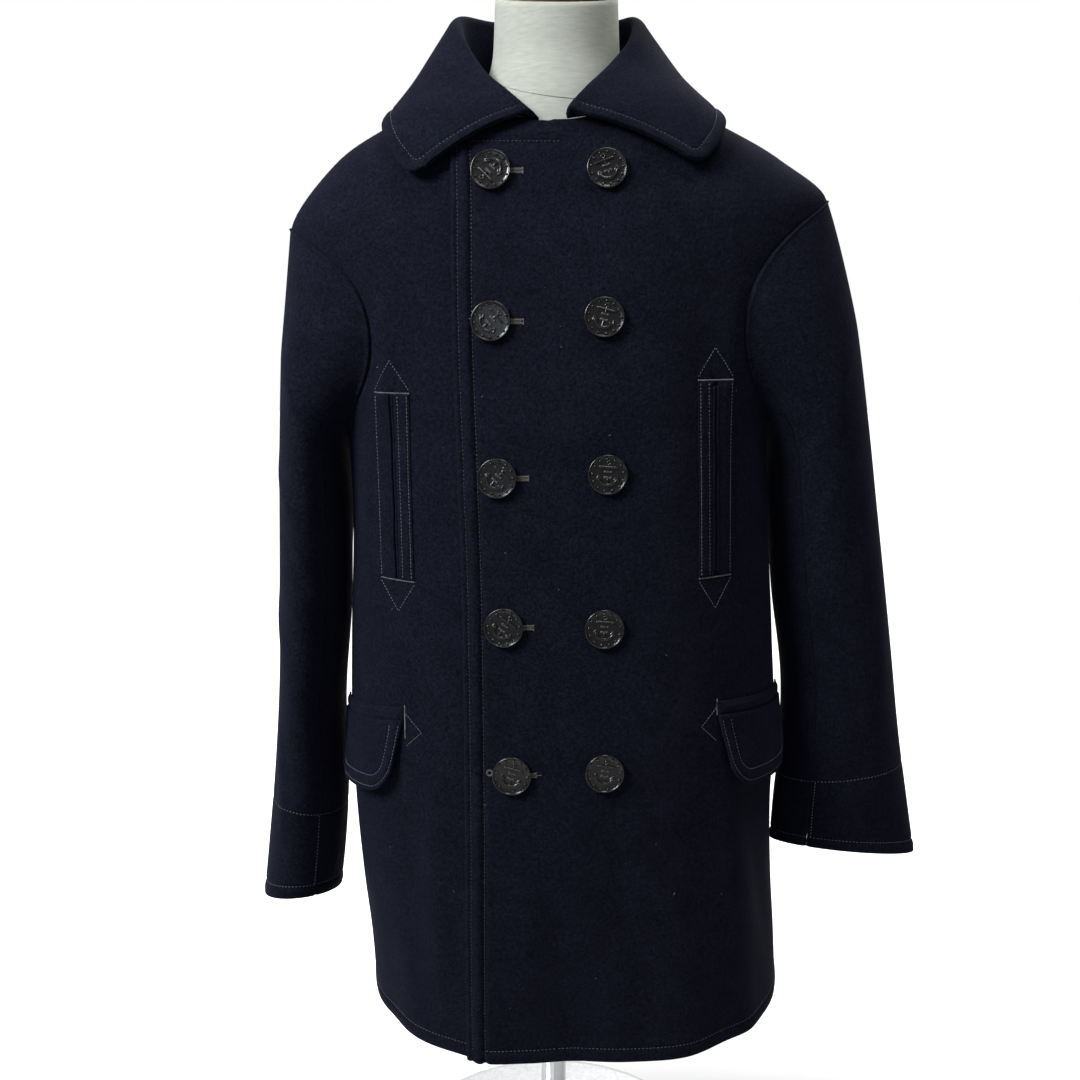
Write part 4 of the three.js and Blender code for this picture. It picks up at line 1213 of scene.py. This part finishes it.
def slit_cords(side):
    """The two turned edges of the slit, as soft cords."""
    pocket = HAND_POCKETS[side]
    along = np.linspace(-75.5, 75.5, 60)
    parts = []
    for across in (-1.55, 1.75):
        x, z = pocket_frame(pocket, across + 0.25 * np.sin(along * 0.11), along)
        parts.append(tube(front_xz(x, z, 0.7), 1.35, 10))
    points, faces = join(parts)
    return make(f"slit_edges_{side}", points, faces, WOOL)


def tapered(along, drop):
    """A share along a flap's upper edge drawn in towards the flap's middle as it hangs down."""
    return along + FLAP_TAPER * (1 - 2 * along) * drop / FLAP_DROP


def pocket_point(pocket, along, drop, outside):
    angle = mix(pocket["inner"][0], pocket["outer"][0], along)
    level = mix(pocket["inner"][1], pocket["outer"][1], along) - drop
    return on_front(angle, level, outside)


def pocket_band(side):
    pocket = FLAP_POCKETS[side]
    u = np.linspace(0, 1, 70)[None, :]
    v = np.linspace(0, 1, 16)[:, None]
    u, v = np.broadcast_arrays(u, v)
    length = 95.0
    edge = np.minimum(np.minimum(u, 1 - u) * length, np.minimum(v, 1 - v) * BAND_HEIGHT)
    swell = BAND_CLOTH * (0.5 + 0.55 * smooth(0, 4.5, edge))
    outer = pocket_point(pocket, u, -v * BAND_HEIGHT, SEAT_GAP + swell)
    inner = pocket_point(pocket, u, -v * BAND_HEIGHT, SEAT_GAP + 0 * u)
    name = f"pocket_band_{side}"
    return cloth(name, outer, inner, WOOL, [name], 0.7)


def flap_length(pocket):
    inner = pocket_point(pocket, np.array(0.0), 0.0, 0.0)
    outer = pocket_point(pocket, np.array(1.0), 0.0, 0.0)
    return np.linalg.norm(inner - outer) * 1.08


def flap_drop(pocket, along):
    from_end = np.minimum(along, 1 - along) * flap_length(pocket)
    into = np.clip(1 - from_end / FLAP_CORNER, 0, 1)
    return FLAP_DROP - FLAP_CORNER * (1 - np.sqrt(1 - into * into * 0.97))


def flap_edge_distance(pocket, along, drop):
    length = flap_length(pocket)
    end = np.minimum(along, 1 - along) * length
    low = FLAP_DROP - drop
    corner = FLAP_CORNER - np.hypot(np.clip(FLAP_CORNER - end, 0, None), np.clip(FLAP_CORNER - low, 0, None))
    return np.where((end < FLAP_CORNER) & (low < FLAP_CORNER), corner, np.minimum(end, low))


def flap_surface(pocket, along, drop, outside):
    """A point outside a flap's under face."""
    lift = FLAP_LIFT * smooth(0, 1, drop / FLAP_DROP)
    wave = 0.8 * np.sin(along * 5.0 + 0.7) * smooth(0.2, 1, drop / FLAP_DROP)
    return pocket_point(pocket, tapered(along, drop), drop, SEAT_GAP + lift + wave + outside)


def pocket_flap(side):
    pocket = FLAP_POCKETS[side]
    u = (1 - np.cos(np.pi * np.linspace(0, 1, 84))) / 2
    v = 1 - (1 - np.linspace(0, 1, 46)) ** 1.25
    along, v = np.meshgrid(mix(0.01, 0.99, u), v)
    drop = 0.6 + v * flap_drop(pocket, along)
    distance = flap_edge_distance(pocket, along, drop)
    swell = 0.5 * bump(distance - 6.5, 4) - 0.6 * bump(distance - 2.2, 1.1) - 0.7 * bump(distance - 12, 1.5)
    outer = flap_surface(pocket, along, drop, FLAP_CLOTH + swell)
    inner = flap_surface(pocket, along, drop, 0 * along)
    name = f"pocket_flap_{side}"
    return cloth(name, outer, inner, WOOL, [name], 0.9)


# ---- Stitching ----


EDGE_ROWS_TOP = 1046.0
LAP_CORNER_X = -85.0


def lap_surface(angle, level, out):
    """The outer front's cloth, lifted where it laps over."""
    return body_point(angle, level, lap_lift(angle) + out)


def lap_rows():
    """The double rows down the outer front's edge and along its top."""
    parts = []
    outs = {EDGE_STITCHES[0]: -0.35, EDGE_STITCHES[1]: -0.85}
    level = np.linspace(HEM + 3, EDGE_ROWS_TOP, 400)
    for distance in EDGE_STITCHES:
        x = row_at(LAP_EDGE, np.minimum(level, EDGE_TABLES_TOP))["x"] + distance
        angle = angle_at(x, level)
        height = body_surface(angle, level)[..., 2]
        keep = height < NECK_EDGE_Z - distance + 0.5
        parts.append(stitch_row(lap_surface, angle[keep], level[keep], out=outs[distance]))
        x = np.linspace(LAP_CORNER_X + distance, 2, 60)
        angle, top_level = place_on_front(x, np.full(60, NECK_EDGE_Z - distance))
        parts.append(stitch_row(lap_surface, angle, top_level, out=-0.35))
    return parts


def vent_line(from_near, count):
    """Distances from the side seam and levels on the hem's stitch line, round the corner and up the vent."""
    r = VENT_RADIUS - HEM_STITCH
    turn = np.linspace(0, SIDE, 24)[1:]
    up = np.linspace(VENT_RADIUS, VENT_HEIGHT - 2, 12)
    flat = np.linspace(from_near, VENT_RADIUS, count)
    nears = np.concatenate([flat, VENT_RADIUS - r * np.sin(turn), np.full(12, HEM_STITCH)])
    heights = np.concatenate([np.full(count, HEM_STITCH), VENT_RADIUS - r * np.cos(turn), up])
    return nears, HEM + heights


def hem_path(hand, from_near):
    """Angles and levels along a front's hem stitches, from a distance from its side seam."""
    dense = hand * np.linspace(1e-4, SIDE, 800)
    nears, levels = vent_line(from_near, 80)
    return np.interp(-nears, -near_side(dense), dense), levels


def hem_rows():
    """The hem's rows on each panel, as parts of one joined mesh."""
    x = np.linspace(LAP_EDGE["x"][0] + EDGE_STITCHES[1], 0, 60)
    level = np.full(60, HEM + HEM_STITCH)
    middle = near_side(np.array([1e-6]))[0] - 1
    start = near_side(np.array([angle_at(np.array(-77.0), np.array(HEM))]))[0]
    rows = [(lap_surface, angle_at(x, level), level), (lap_surface, *hem_path(1, middle))]
    rows.append((body_point, *hem_path(-1, start)))
    for hand in (1, -1):
        dense = np.linspace(SIDE, math.pi, 800)
        near = near_side(hand * dense)
        nears, levels = vent_line(near[-1], 100)
        rows.append((body_point, hand * np.interp(nears, near, dense), levels))
    return [stitch_row(*row, out=-0.4) for row in rows]


def cuff_rows(side):
    surface = lambda t, s, out: sleeve_point(side, t, s, out)
    turn = np.linspace(0, 2 * math.pi, 160)
    rows = []
    for distance in (CUFF_STITCH, CUFF_RING):
        rows.append(stitch_row(surface, turn, np.full(160, 1 - distance / SLEEVE_LENGTH), out=0.1))
    share = np.linspace(1 - CUFF_RING / SLEEVE_LENGTH, 1 - CUFF_STITCH / SLEEVE_LENGTH, 30)
    return rows + [stitch_row(surface, np.full(30, SLEEVE_FRONT_SEAM * SLEEVE_TURN - 0.06), share, out=0.1)]


def collar_rows():
    ends = collar_end_lengths()
    station = np.linspace(0, 12, 480)
    fall, _ = collar_sizes(station)
    line = 1 - COLLAR_STITCH / fall * (1 - FOLD_END)
    inset = [COLLAR_STITCH / ends[0], 12 - COLLAR_STITCH / ends[1]]
    u, v = [], []
    corner = 6.0
    for end, order in ((0, 1), (1, -1)):
        s0 = inset[end]
        edge = np.interp(s0, station, line)
        drop = corner / np.interp(s0, station, fall) * (1 - FOLD_END)
        turn = np.linspace(0, SIDE, 8)
        straight = np.linspace(0.4, edge - drop, 40)
        bend_s = s0 + (1 if end == 0 else -1) * corner / ends[end] * (1 - np.cos(turn))
        bend_a = edge - drop + drop * np.sin(turn)
        u.append(np.concatenate([np.full(40, s0), bend_s])[::order])
        v.append(np.concatenate([straight, bend_a])[::order])
    inside = (station > u[0][-1]) & (station < u[1][0])
    u = np.concatenate([u[0], station[inside], u[1]])
    v = np.concatenate([v[0], line[inside], v[1]])
    return [stitch_row(collar_point, u, v, out=0.05)]


def flap_rows(side):
    pocket = FLAP_POCKETS[side]
    length = flap_length(pocket)
    surface = lambda a, d, out: flap_surface(pocket, a, d, FLAP_CLOTH + out)
    rows = []
    for inset in (2.2, 12.0):
        r = FLAP_CORNER - inset
        turn = np.linspace(0, SIDE, 20)
        down = np.linspace(3, FLAP_DROP - FLAP_CORNER, 16)
        left_a = np.concatenate([np.full(16, inset), FLAP_CORNER - r * np.cos(turn)])
        left_d = np.concatenate([down, FLAP_DROP - FLAP_CORNER + r * np.sin(turn)])
        along = np.concatenate([left_a, length - left_a[::-1]]) / length
        drop = np.concatenate([left_d, left_d[::-1]])
        rows.append(stitch_row(surface, along, drop, out=-0.35, pitch=3.0))
    return rows


def front_line(points, **options):
    """A stitch row on the fronts through points given by distance from the middle and height."""
    points = np.asarray(points, float)
    at = np.linspace(0, len(points) - 1, 14 * (len(points) - 1) + 1)
    angle, level = place_on_front(*(np.interp(at, np.arange(len(points)), points[:, k]) for k in (0, 1)))
    return stitch_row(on_front, angle, level, **options)


WELT_EDGE = SLIT_WIDTH / 2 + WELT_WIDTH


def hand_pocket_rows(side):
    """The stitched outline of a hand pocket and its arrowheads."""
    pocket = HAND_POCKETS[side]
    half = pocket_half(pocket)
    rows = []
    frame_at = lambda across, along: pocket_frame(pocket, across, along)
    for across in (WELT_EDGE - 1.6, -WELT_EDGE + 1.6, -SLIT_WIDTH / 2 - 3.4):
        ends = [frame_at(across, -half + 1), frame_at(across, half - 1)]
        rows.append(front_line(ends, out=1.6, pitch=3.0))
    tip, reach = 24.0, 15.0
    for way in (1, -1):
        foot = way * (half + 3.5)
        corners = [frame_at(-reach, foot), frame_at(0, foot + way * tip), frame_at(reach, foot)]
        rows.append(front_line(corners, out=0.15, pitch=2.8, length=2.0))
    return rows


def flap_marks(side):
    """The stitched triangle that points to the middle from a flap's inner end."""
    pocket = FLAP_POCKETS[side]
    x, _, z = pocket_point(pocket, np.array(0.0), 0.0, 0.0)
    hand = HAND[side]
    start = x - hand * 2.0
    points = [(start, z + 7), (start - hand * 14, z - 7), (start, z - 21)]
    return [front_line(points, out=0.15, pitch=2.6, length=1.9)]


def bar_tack(x0, z0, x1, z1, width=1.5, out=0.4):
    """A dense bar of crosswise stitches between two places on the fronts."""
    count = max(int(math.hypot(x1 - x0, z1 - z0) / 0.75), 4)
    at = np.linspace(0, 1, count)
    centres, normals = seats(mix(x0, x1, at), mix(z0, z1, at), out)
    along = unit(np.gradient(centres, axis=0))
    across = np.cross(normals, along) + 0.18 * along
    return stitches_at(centres, across, normals, width, 0.66, 0.8)


def bar_tacks():
    parts = []
    for pocket in HAND_POCKETS.values():
        half = pocket_half(pocket)
        for way in (1, -1):
            ends = [pocket_frame(pocket, across, way * (half + 1.2)) for across in (-WELT_EDGE, WELT_EDGE)]
            parts.append(bar_tack(*ends[0], *ends[1]))
    for side, pocket in FLAP_POCKETS.items():
        hand = HAND[side]
        x, _, z = pocket_point(pocket, np.array(0.0), 0.0, 0.0)
        x, foot = x - hand * 1.6, z - 14 if side == "right" else z + 1
        parts.append(bar_tack(x, z + 14, x, foot, out=0.6))
    return parts


def buttonhole(x, z, reach, back):
    """A worked buttonhole: silk purls either side of a slit, with a bar at its end."""
    parts = []
    xs = np.arange(x - back, x + reach, 0.85)
    for side in (1, -1):
        centres, normals = seats(xs, np.full(len(xs), z + side * 1.35), 0.35)
        up = np.tile([0.0, 0.0, 1.0], (len(xs), 1))
        parts.append(stitches_at(centres, up, normals, 1.9, 0.72, 0.9))
    parts.append(bar_tack(x + reach, z - 2.2, x + reach, z + 2.2, 1.4, 0.35))
    return parts


def buttonholes():
    parts = []
    places = BUTTONS["lap"]
    reaches = (25.5, 26, 25, 24, 20)
    for x, z, reach in zip(places["x"], places["z"], reaches):
        parts += buttonhole(x, z, reach, 3)
    x, z = places["x"][-1], places["z"][-1]
    turns = np.linspace(0, 2 * math.pi, 26)[:-1]
    centres, normals = seats(x - 18.2 + 2.3 * np.cos(turns), z + 1 + 2.3 * np.sin(turns), 0.35)
    spokes = np.stack([np.cos(turns), 0 * turns, np.sin(turns)], -1)
    parts.append(stitches_at(centres, spokes, normals, 1.7, 0.62, 0.9))
    return parts


# Painted shade: a thin near-black cord along each buttonhole, where the slit stands open and dark.
def buttonhole_slits():
    parts = []
    for x, z in zip(BUTTONS["lap"]["x"], BUTTONS["lap"]["z"]):
        xs = np.linspace(x - 4, x + 24, 12)
        parts.append(tube(front_xz(xs, np.full(12, z), 0.2 + 0 * xs), 0.5, 6))
    return parts


# ---- Buttons ----


FACE_TOP = 3.35
HOLE_PLACES = (-2.3, 2.3)


def anchor_parts():
    """A plain generic anchor in relief: ring and stock at its head, arms and flukes at its foot."""
    top = FACE_TOP
    head = [[0, y, top] for y in np.linspace(3.6, 8.2, 5)]
    foot = [[0, y, top] for y in np.linspace(-8.6, -3.6, 5)]
    stock = [[x, 6.2, top + 0.3] for x in np.linspace(-7.2, 7.2, 9)]
    turns = np.radians(np.linspace(200, 340, 25))
    arms = [[7.6 * math.cos(t), -1.2 + 7.2 * math.sin(t), top] for t in turns]
    thick = 1.0 + 0.4 * np.sin(np.linspace(0, math.pi, 25))
    parts = [tube(head, 1.0, 10), tube(foot, 1.0, 10), tube(stock, 0.95, 10), tube(arms, thick, 10)]
    ring = [[1.5 * math.cos(t), 9.6 + 1.5 * math.sin(t), top] for t in np.linspace(0, 2 * math.pi, 17)]
    parts.append(tube(ring, 0.6, 8))
    for side in (1, -1):
        for path in (((-1.9, -0.1), (-0.5, 1.3), (0.5, 3.2)), ((1.4, -0.6), (1.0, 1.3), (0.5, 3.2))):
            fluke = [[side * (7.1 + a), -3.6 + b, top + 0.15] for a, b in path]
            parts.append(tube(fluke, [1.0, 0.9, 0.35], 8))
    return parts


PIPS, PIP_RING = 13, 12.9
BUTTON_PROFILE = [
    [0.05, 0.1], [10.0, 0.0], [13.5, 0.0], [15.3, 0.5], [16.1, 1.4], [16.25, 2.6], [16.1, 3.6],
    [15.8, 4.05], [15.35, 4.2], [14.9, 4.0], [14.65, 3.4], [14.3, 3.15], [12.0, 3.1], [6.0, 2.95],
    [0.05, 2.9],
]


def button_parts():
    """One button in its own frame, with pips inside its rim."""
    parts = [lathe(BUTTON_PROFILE, 72)]
    for k in range(PIPS):
        t = 2 * math.pi * (k + 0.5) / PIPS
        centre = np.array([PIP_RING * math.cos(t), PIP_RING * math.sin(t), 3.0])
        parts.append(tube([centre - [0.02, 0, 0.1], centre + [0.02, 0, 0.6]], 0.95, 10))
    return parts + anchor_parts()


def button_thread():
    """Two bars of thread between the four holes at a button's middle."""
    parts = []
    for side in HOLE_PLACES:
        at = np.linspace(0, 1, 9)
        rise = FACE_TOP + 0.3 * np.sin(np.pi * at)
        for shift in (-0.4, 0.4):
            path = np.stack([mix(-1.9, 1.9, at), side + shift + 0 * at, rise], -1)
            parts.append(tube(path, 0.38, 6))
    return parts


# Painted shade: flat near-black discs on the button face where its four holes would be dark inside; the
# button itself has no holes.
def painted_hole_shade_discs():
    return [tube([[x, y, 2.9], [x, y, 2.97]], 1.15, 14) for x in HOLE_PLACES for y in HOLE_PLACES]


def button_place(x, z, turn):
    """The matrix of axes and the seat of a button."""
    angle, level = place_on_front(np.array([x]), np.array([z]))
    lift = np.where(angle > LAP_BACK, lap_lift(angle), 0)
    seat = body_point(angle, level, lift + SEAT_GAP)[0]
    normal = body_normal(angle, level)[0]
    up = unit(np.array([0.0, 0.0, 1.0]) - normal * normal[2])
    right = np.cross(up, normal)
    t = math.radians(turn)
    x_axis = right * math.cos(t) + up * math.sin(t)
    y_axis = np.cross(normal, x_axis)
    return np.stack([x_axis, y_axis, normal]), seat


def make_buttons():
    body, thread, holes = join(button_parts()), join(button_thread()), join(painted_hole_shade_discs())
    threads, dark = [], []
    for column, rows in BUTTONS.items():
        for i, (x, z, turn) in enumerate(zip(rows["x"], rows["z"], rows["turn"])):
            axes, seat = button_place(x, z, turn)
            name = f"button_{column}_{i + 1}"
            make(f"{name}_disc", body[0] @ axes + seat, body[1], BUTTON, [name], slot="button")
            threads.append((thread[0] @ axes + seat, thread[1]))
            # The eyes are painted shade: dark discs where the holes are, not holes cut in the button.
            dark.append((holes[0] @ axes + seat, holes[1]))
    make("button_threads", *join(threads), DARK_THREAD_AND_SHADE)
    make("button_eyes", *join(dark), DARK_THREAD_AND_SHADE, slot="button")


# ---- Dress form and stand ----


def form_torso():
    """The torso and neck as one smooth closed form; neck_seam draws the seam low on the neck."""
    columns = 96
    angle = 2 * math.pi * np.arange(columns) / columns
    side = np.abs(np.sin(angle)) ** 3
    rings = []
    for level in np.concatenate([[FORM_BOTTOM], np.arange(500, 900, 20), np.arange(900, 1075, 5), [NECK]]):
        s = row_at(FORM, level)
        inside = CLOTH + mix(s["inside"], s["sideInside"], side)
        levels = np.full(columns, level)
        ring = body_surface(angle, levels) - body_normal(angle, levels) * inside[:, None]
        if level == FORM_BOTTOM:
            ring[:, 2] = FORM_BOTTOM
        rings.append(ring)
    shoulder = rings[-1]
    neck = []
    for i, height in enumerate(FORM_NECK["height"]):
        s = {k: v[i] for k, v in FORM_NECK.items()}
        sin, cos = np.sin(angle), np.cos(angle)
        depth = np.where(cos > 0, s["front"], s["back"])
        neck.append(np.stack([s["half"] * sin, -depth * cos, height - s["lean"] * cos], -1))
    for t in np.linspace(0, 1, 12)[1:]:
        rings.append(mix(shoulder, neck[0], t))
    for a, b, count in ((neck[0], neck[1], 8), (neck[1], neck[2], 10)):
        rings += [mix(a, b, t) for t in np.linspace(0, 1, count + 1)[1:]]
    rings = np.array(rings)
    rings[-14:] = smooth_rings(rings)[-14:]
    points = rings.reshape(-1, 3)
    faces = ring_faces(len(rings), columns)
    make("form_torso_skin", points, outward(points, faces), LINEN, ["form_torso"], slot="linen")
    return rings


def smooth_rings(rings):
    """The rings eased along their height."""
    eased = rings.copy()
    for _ in range(6):
        eased[1:-1] = (eased[:-2] + 2 * eased[1:-1] + eased[2:]) / 4
    return eased


NECK_LINE_DIP, NECK_LINE_TILT = 22, 7


def neck_seam(rings):
    """The form's seam, a thin dark line in the linen where neck and shoulders meet."""
    columns = rings.shape[1]
    angle = 2 * math.pi * np.arange(columns) / columns
    height = NECK_LINE_Z - NECK_LINE_DIP * np.cos(angle) - NECK_LINE_TILT * np.sin(angle)
    path = []
    for c in range(columns):
        ring = rings[:, c]
        path.append([np.interp(height[c], ring[:, 2], ring[:, k]) for k in range(3)])
    path = np.array(path)
    path = np.concatenate([path[-2:], path, path[:3]])
    at = np.linspace(2, len(path) - 3, 320)
    fine = np.stack([np.interp(at, np.arange(len(path)), path[:, k]) for k in range(3)], -1)
    points, faces = tube(fine, 0.42, 6)
    return make("form_neck_seam", points, faces, SEAM_SHADE, slot="linen")


def finish_carried_nodes():
    """Better materials for the CAD nodes that keep their shape."""
    for node, material in (("form_neck_cap", WOOD), ("form_pole", STEEL), ("form_base", STEEL)):
        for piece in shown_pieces():
            if piece.name.split(".")[0] == node:
                piece.data.materials.clear()
                piece.data.materials.append(material)


# ---- Assembly ----


def build_coat():
    front_panel("front_left", 1, LAP_EDGE, lap_lift)
    front_panel("front_right", -1, UNDER_EDGE, lambda angle: 0 * angle)
    back_panel()
    for side in ("left", "right"):
        sleeve_piece(side, "upper", SLEEVE_BACK_SEAM - 20, SLEEVE_FRONT_SEAM)
        sleeve_piece(side, "under", SLEEVE_FRONT_SEAM, SLEEVE_BACK_SEAM)
        for which in ("inner", "outer"):
            pocket_welt(side, which)
        slit_cords(side)
        pocket_band(side)
        pocket_flap(side)
    collar_piece()


LINT = 26


def lint():
    """A few pale specks and short hairs caught in the nap of the fronts."""
    places = random.uniform((-150, 300), (150, 960), (LINT, 2))
    places = np.concatenate([places, [[142, 392], [27, 876], [-60, 820]]])
    centres, normals = seats(places[:, 0], places[:, 1], 0.25)
    turn = random.uniform(0, math.pi, len(centres))
    ways = np.stack([np.cos(turn), 0 * turn, np.sin(turn)], -1)
    parts = []
    for k in range(len(centres)):
        size = slice(k, k + 1)
        length = random.uniform(0.8, 3.0)
        parts.append(stitches_at(centres[size], ways[size], normals[size], length, 0.32, 0.3))
    return make("lint", *join(parts), SPECK)


def build_stitching():
    make("edge_stitching", *join(lap_rows()), NAVY_THREAD)
    make("hem_stitching", *join(hem_rows() + collar_rows()), BLUE_THREAD)
    rows = []
    for side in ("left", "right"):
        rows += cuff_rows(side) + flap_rows(side) + hand_pocket_rows(side) + flap_marks(side)
    make("pocket_stitching", *join(rows), THREAD)
    make("bar_tacks", *join(bar_tacks()), THREAD)
    make("buttonhole_silk", *join(buttonholes()), SILK)
    # The near-black cords in the buttonholes are painted shade of the open slits.
    make("buttonhole_slits", *join(buttonhole_slits()), DARK_THREAD_AND_SHADE)


build_coat()
build_stitching()
lint()
make_buttons()
neck_seam(form_torso())
finish_carried_nodes()


# ---- Stage, light and camera ----


FLOOR_REACH = 9000.0


def stage_floor():
    """A wide pale floor with a painted glow: its emission rises away from the object, so the far part looks
    like a lit white backdrop.
    """
    s = Shader("paper_painted_glow", Roughness=0.9, Emission_Color=(1, 1, 1, 1))
    tone = s.noise(3, 3, 0.5)
    s.set(s.surface, Base_Color=s.ramp(tone, (0.3, (0.44, 0.44, 0.44)), (0.7, (0.46, 0.46, 0.46))))
    # Painted glow: emission strength rises from nothing at the object to full 0.3 m behind it.
    far = s.node("ShaderNodeSeparateXYZ", Vector=s.place).outputs["Y"]
    glow = s.node("ShaderNodeMapRange", Value=far, From_Min=0.0, From_Max=0.3, To_Min=0.0, To_Max=1.0)
    s.set(s.surface, Emission_Strength=glow.outputs["Result"])
    x = np.linspace(-FLOOR_REACH, FLOOR_REACH, 9)
    points = [[px, py, 0.0] for py in x for px in x]
    mesh = bpy.data.meshes.new("backdrop")
    mesh.from_pydata((np.array(points) * MM).tolist(), [], grid_faces(9, 9))
    mesh.shade_smooth()
    floor = bpy.data.objects.new("backdrop", mesh)
    collection.objects.link(floor)
    mesh.materials.append(s.material)


def lamp(name, place, target, size, power, colour=(1, 1, 1), narrow=None):
    light = bpy.data.lights.new(name, "AREA")
    light.shape = "RECTANGLE" if narrow else "SQUARE"
    light.size = size
    if narrow:
        light.size_y = narrow
    light.energy = power
    light.color = colour
    piece = bpy.data.objects.new(name, light)
    collection.objects.link(piece)
    piece.location = place
    aim(piece, target)
    return piece


def aim(piece, target):
    piece.rotation_euler = (Vector(target) - piece.location).to_track_quat("-Z", "Y").to_euler()


CAMERA_PLACE = (-0.014, -1.0465, 0.8917)
CAMERA_PITCH = 11.5
LENS, SENSOR = 38.33, 36

stage_floor()
lamp("key", (-1.55, -1.1, 2.25), (-0.05, 0, 1.05), 0.9, 145)
lamp("top", (0.3, -0.4, 2.3), (0.05, 0, 1.05), 0.6, 17, (1.0, 0.97, 0.94))
lamp("window", (-0.9, -2.4, 1.5), (-0.05, -0.1, 0.9), 0.5, 4, (0.62, 0.8, 1.0))
lamp("back", (0.6, 1.4, 2.3), (0, 0, 0.8), 1.0, 30)


def studio_world():
    """A white backdrop behind the object that falls off to a dim room in front of it."""
    world = bpy.data.worlds.new("studio")
    bpy.context.scene.world = world
    world.use_nodes = True
    tree = world.node_tree
    way = tree.nodes.new("ShaderNodeTexCoord").outputs["Generated"]
    split = tree.nodes.new("ShaderNodeSeparateXYZ")
    tree.links.new(way, split.inputs[0])
    fall = tree.nodes.new("ShaderNodeMapRange")
    tree.links.new(split.outputs["Y"], fall.inputs["Value"])
    for name, value in (("From Min", -0.3), ("From Max", 0.8), ("To Min", 0.3), ("To Max", 1.0)):
        fall.inputs[name].default_value = value
    tree.links.new(fall.outputs["Result"], tree.nodes["Background"].inputs["Strength"])
    tree.nodes["Background"].inputs["Color"].default_value = (1.0, 1.0, 1.0, 1)


studio_world()

camera = bpy.data.objects.new("camera", bpy.data.cameras.new("camera"))
collection.objects.link(camera)
camera.data.lens = LENS
camera.data.sensor_width = SENSOR
camera.data.clip_start = 0.05
camera.location = CAMERA_PLACE
camera.rotation_euler = (math.radians(90 - CAMERA_PITCH), 0, 0)
bpy.context.scene.camera = camera
bpy.context.scene.view_settings.view_transform = "Standard"
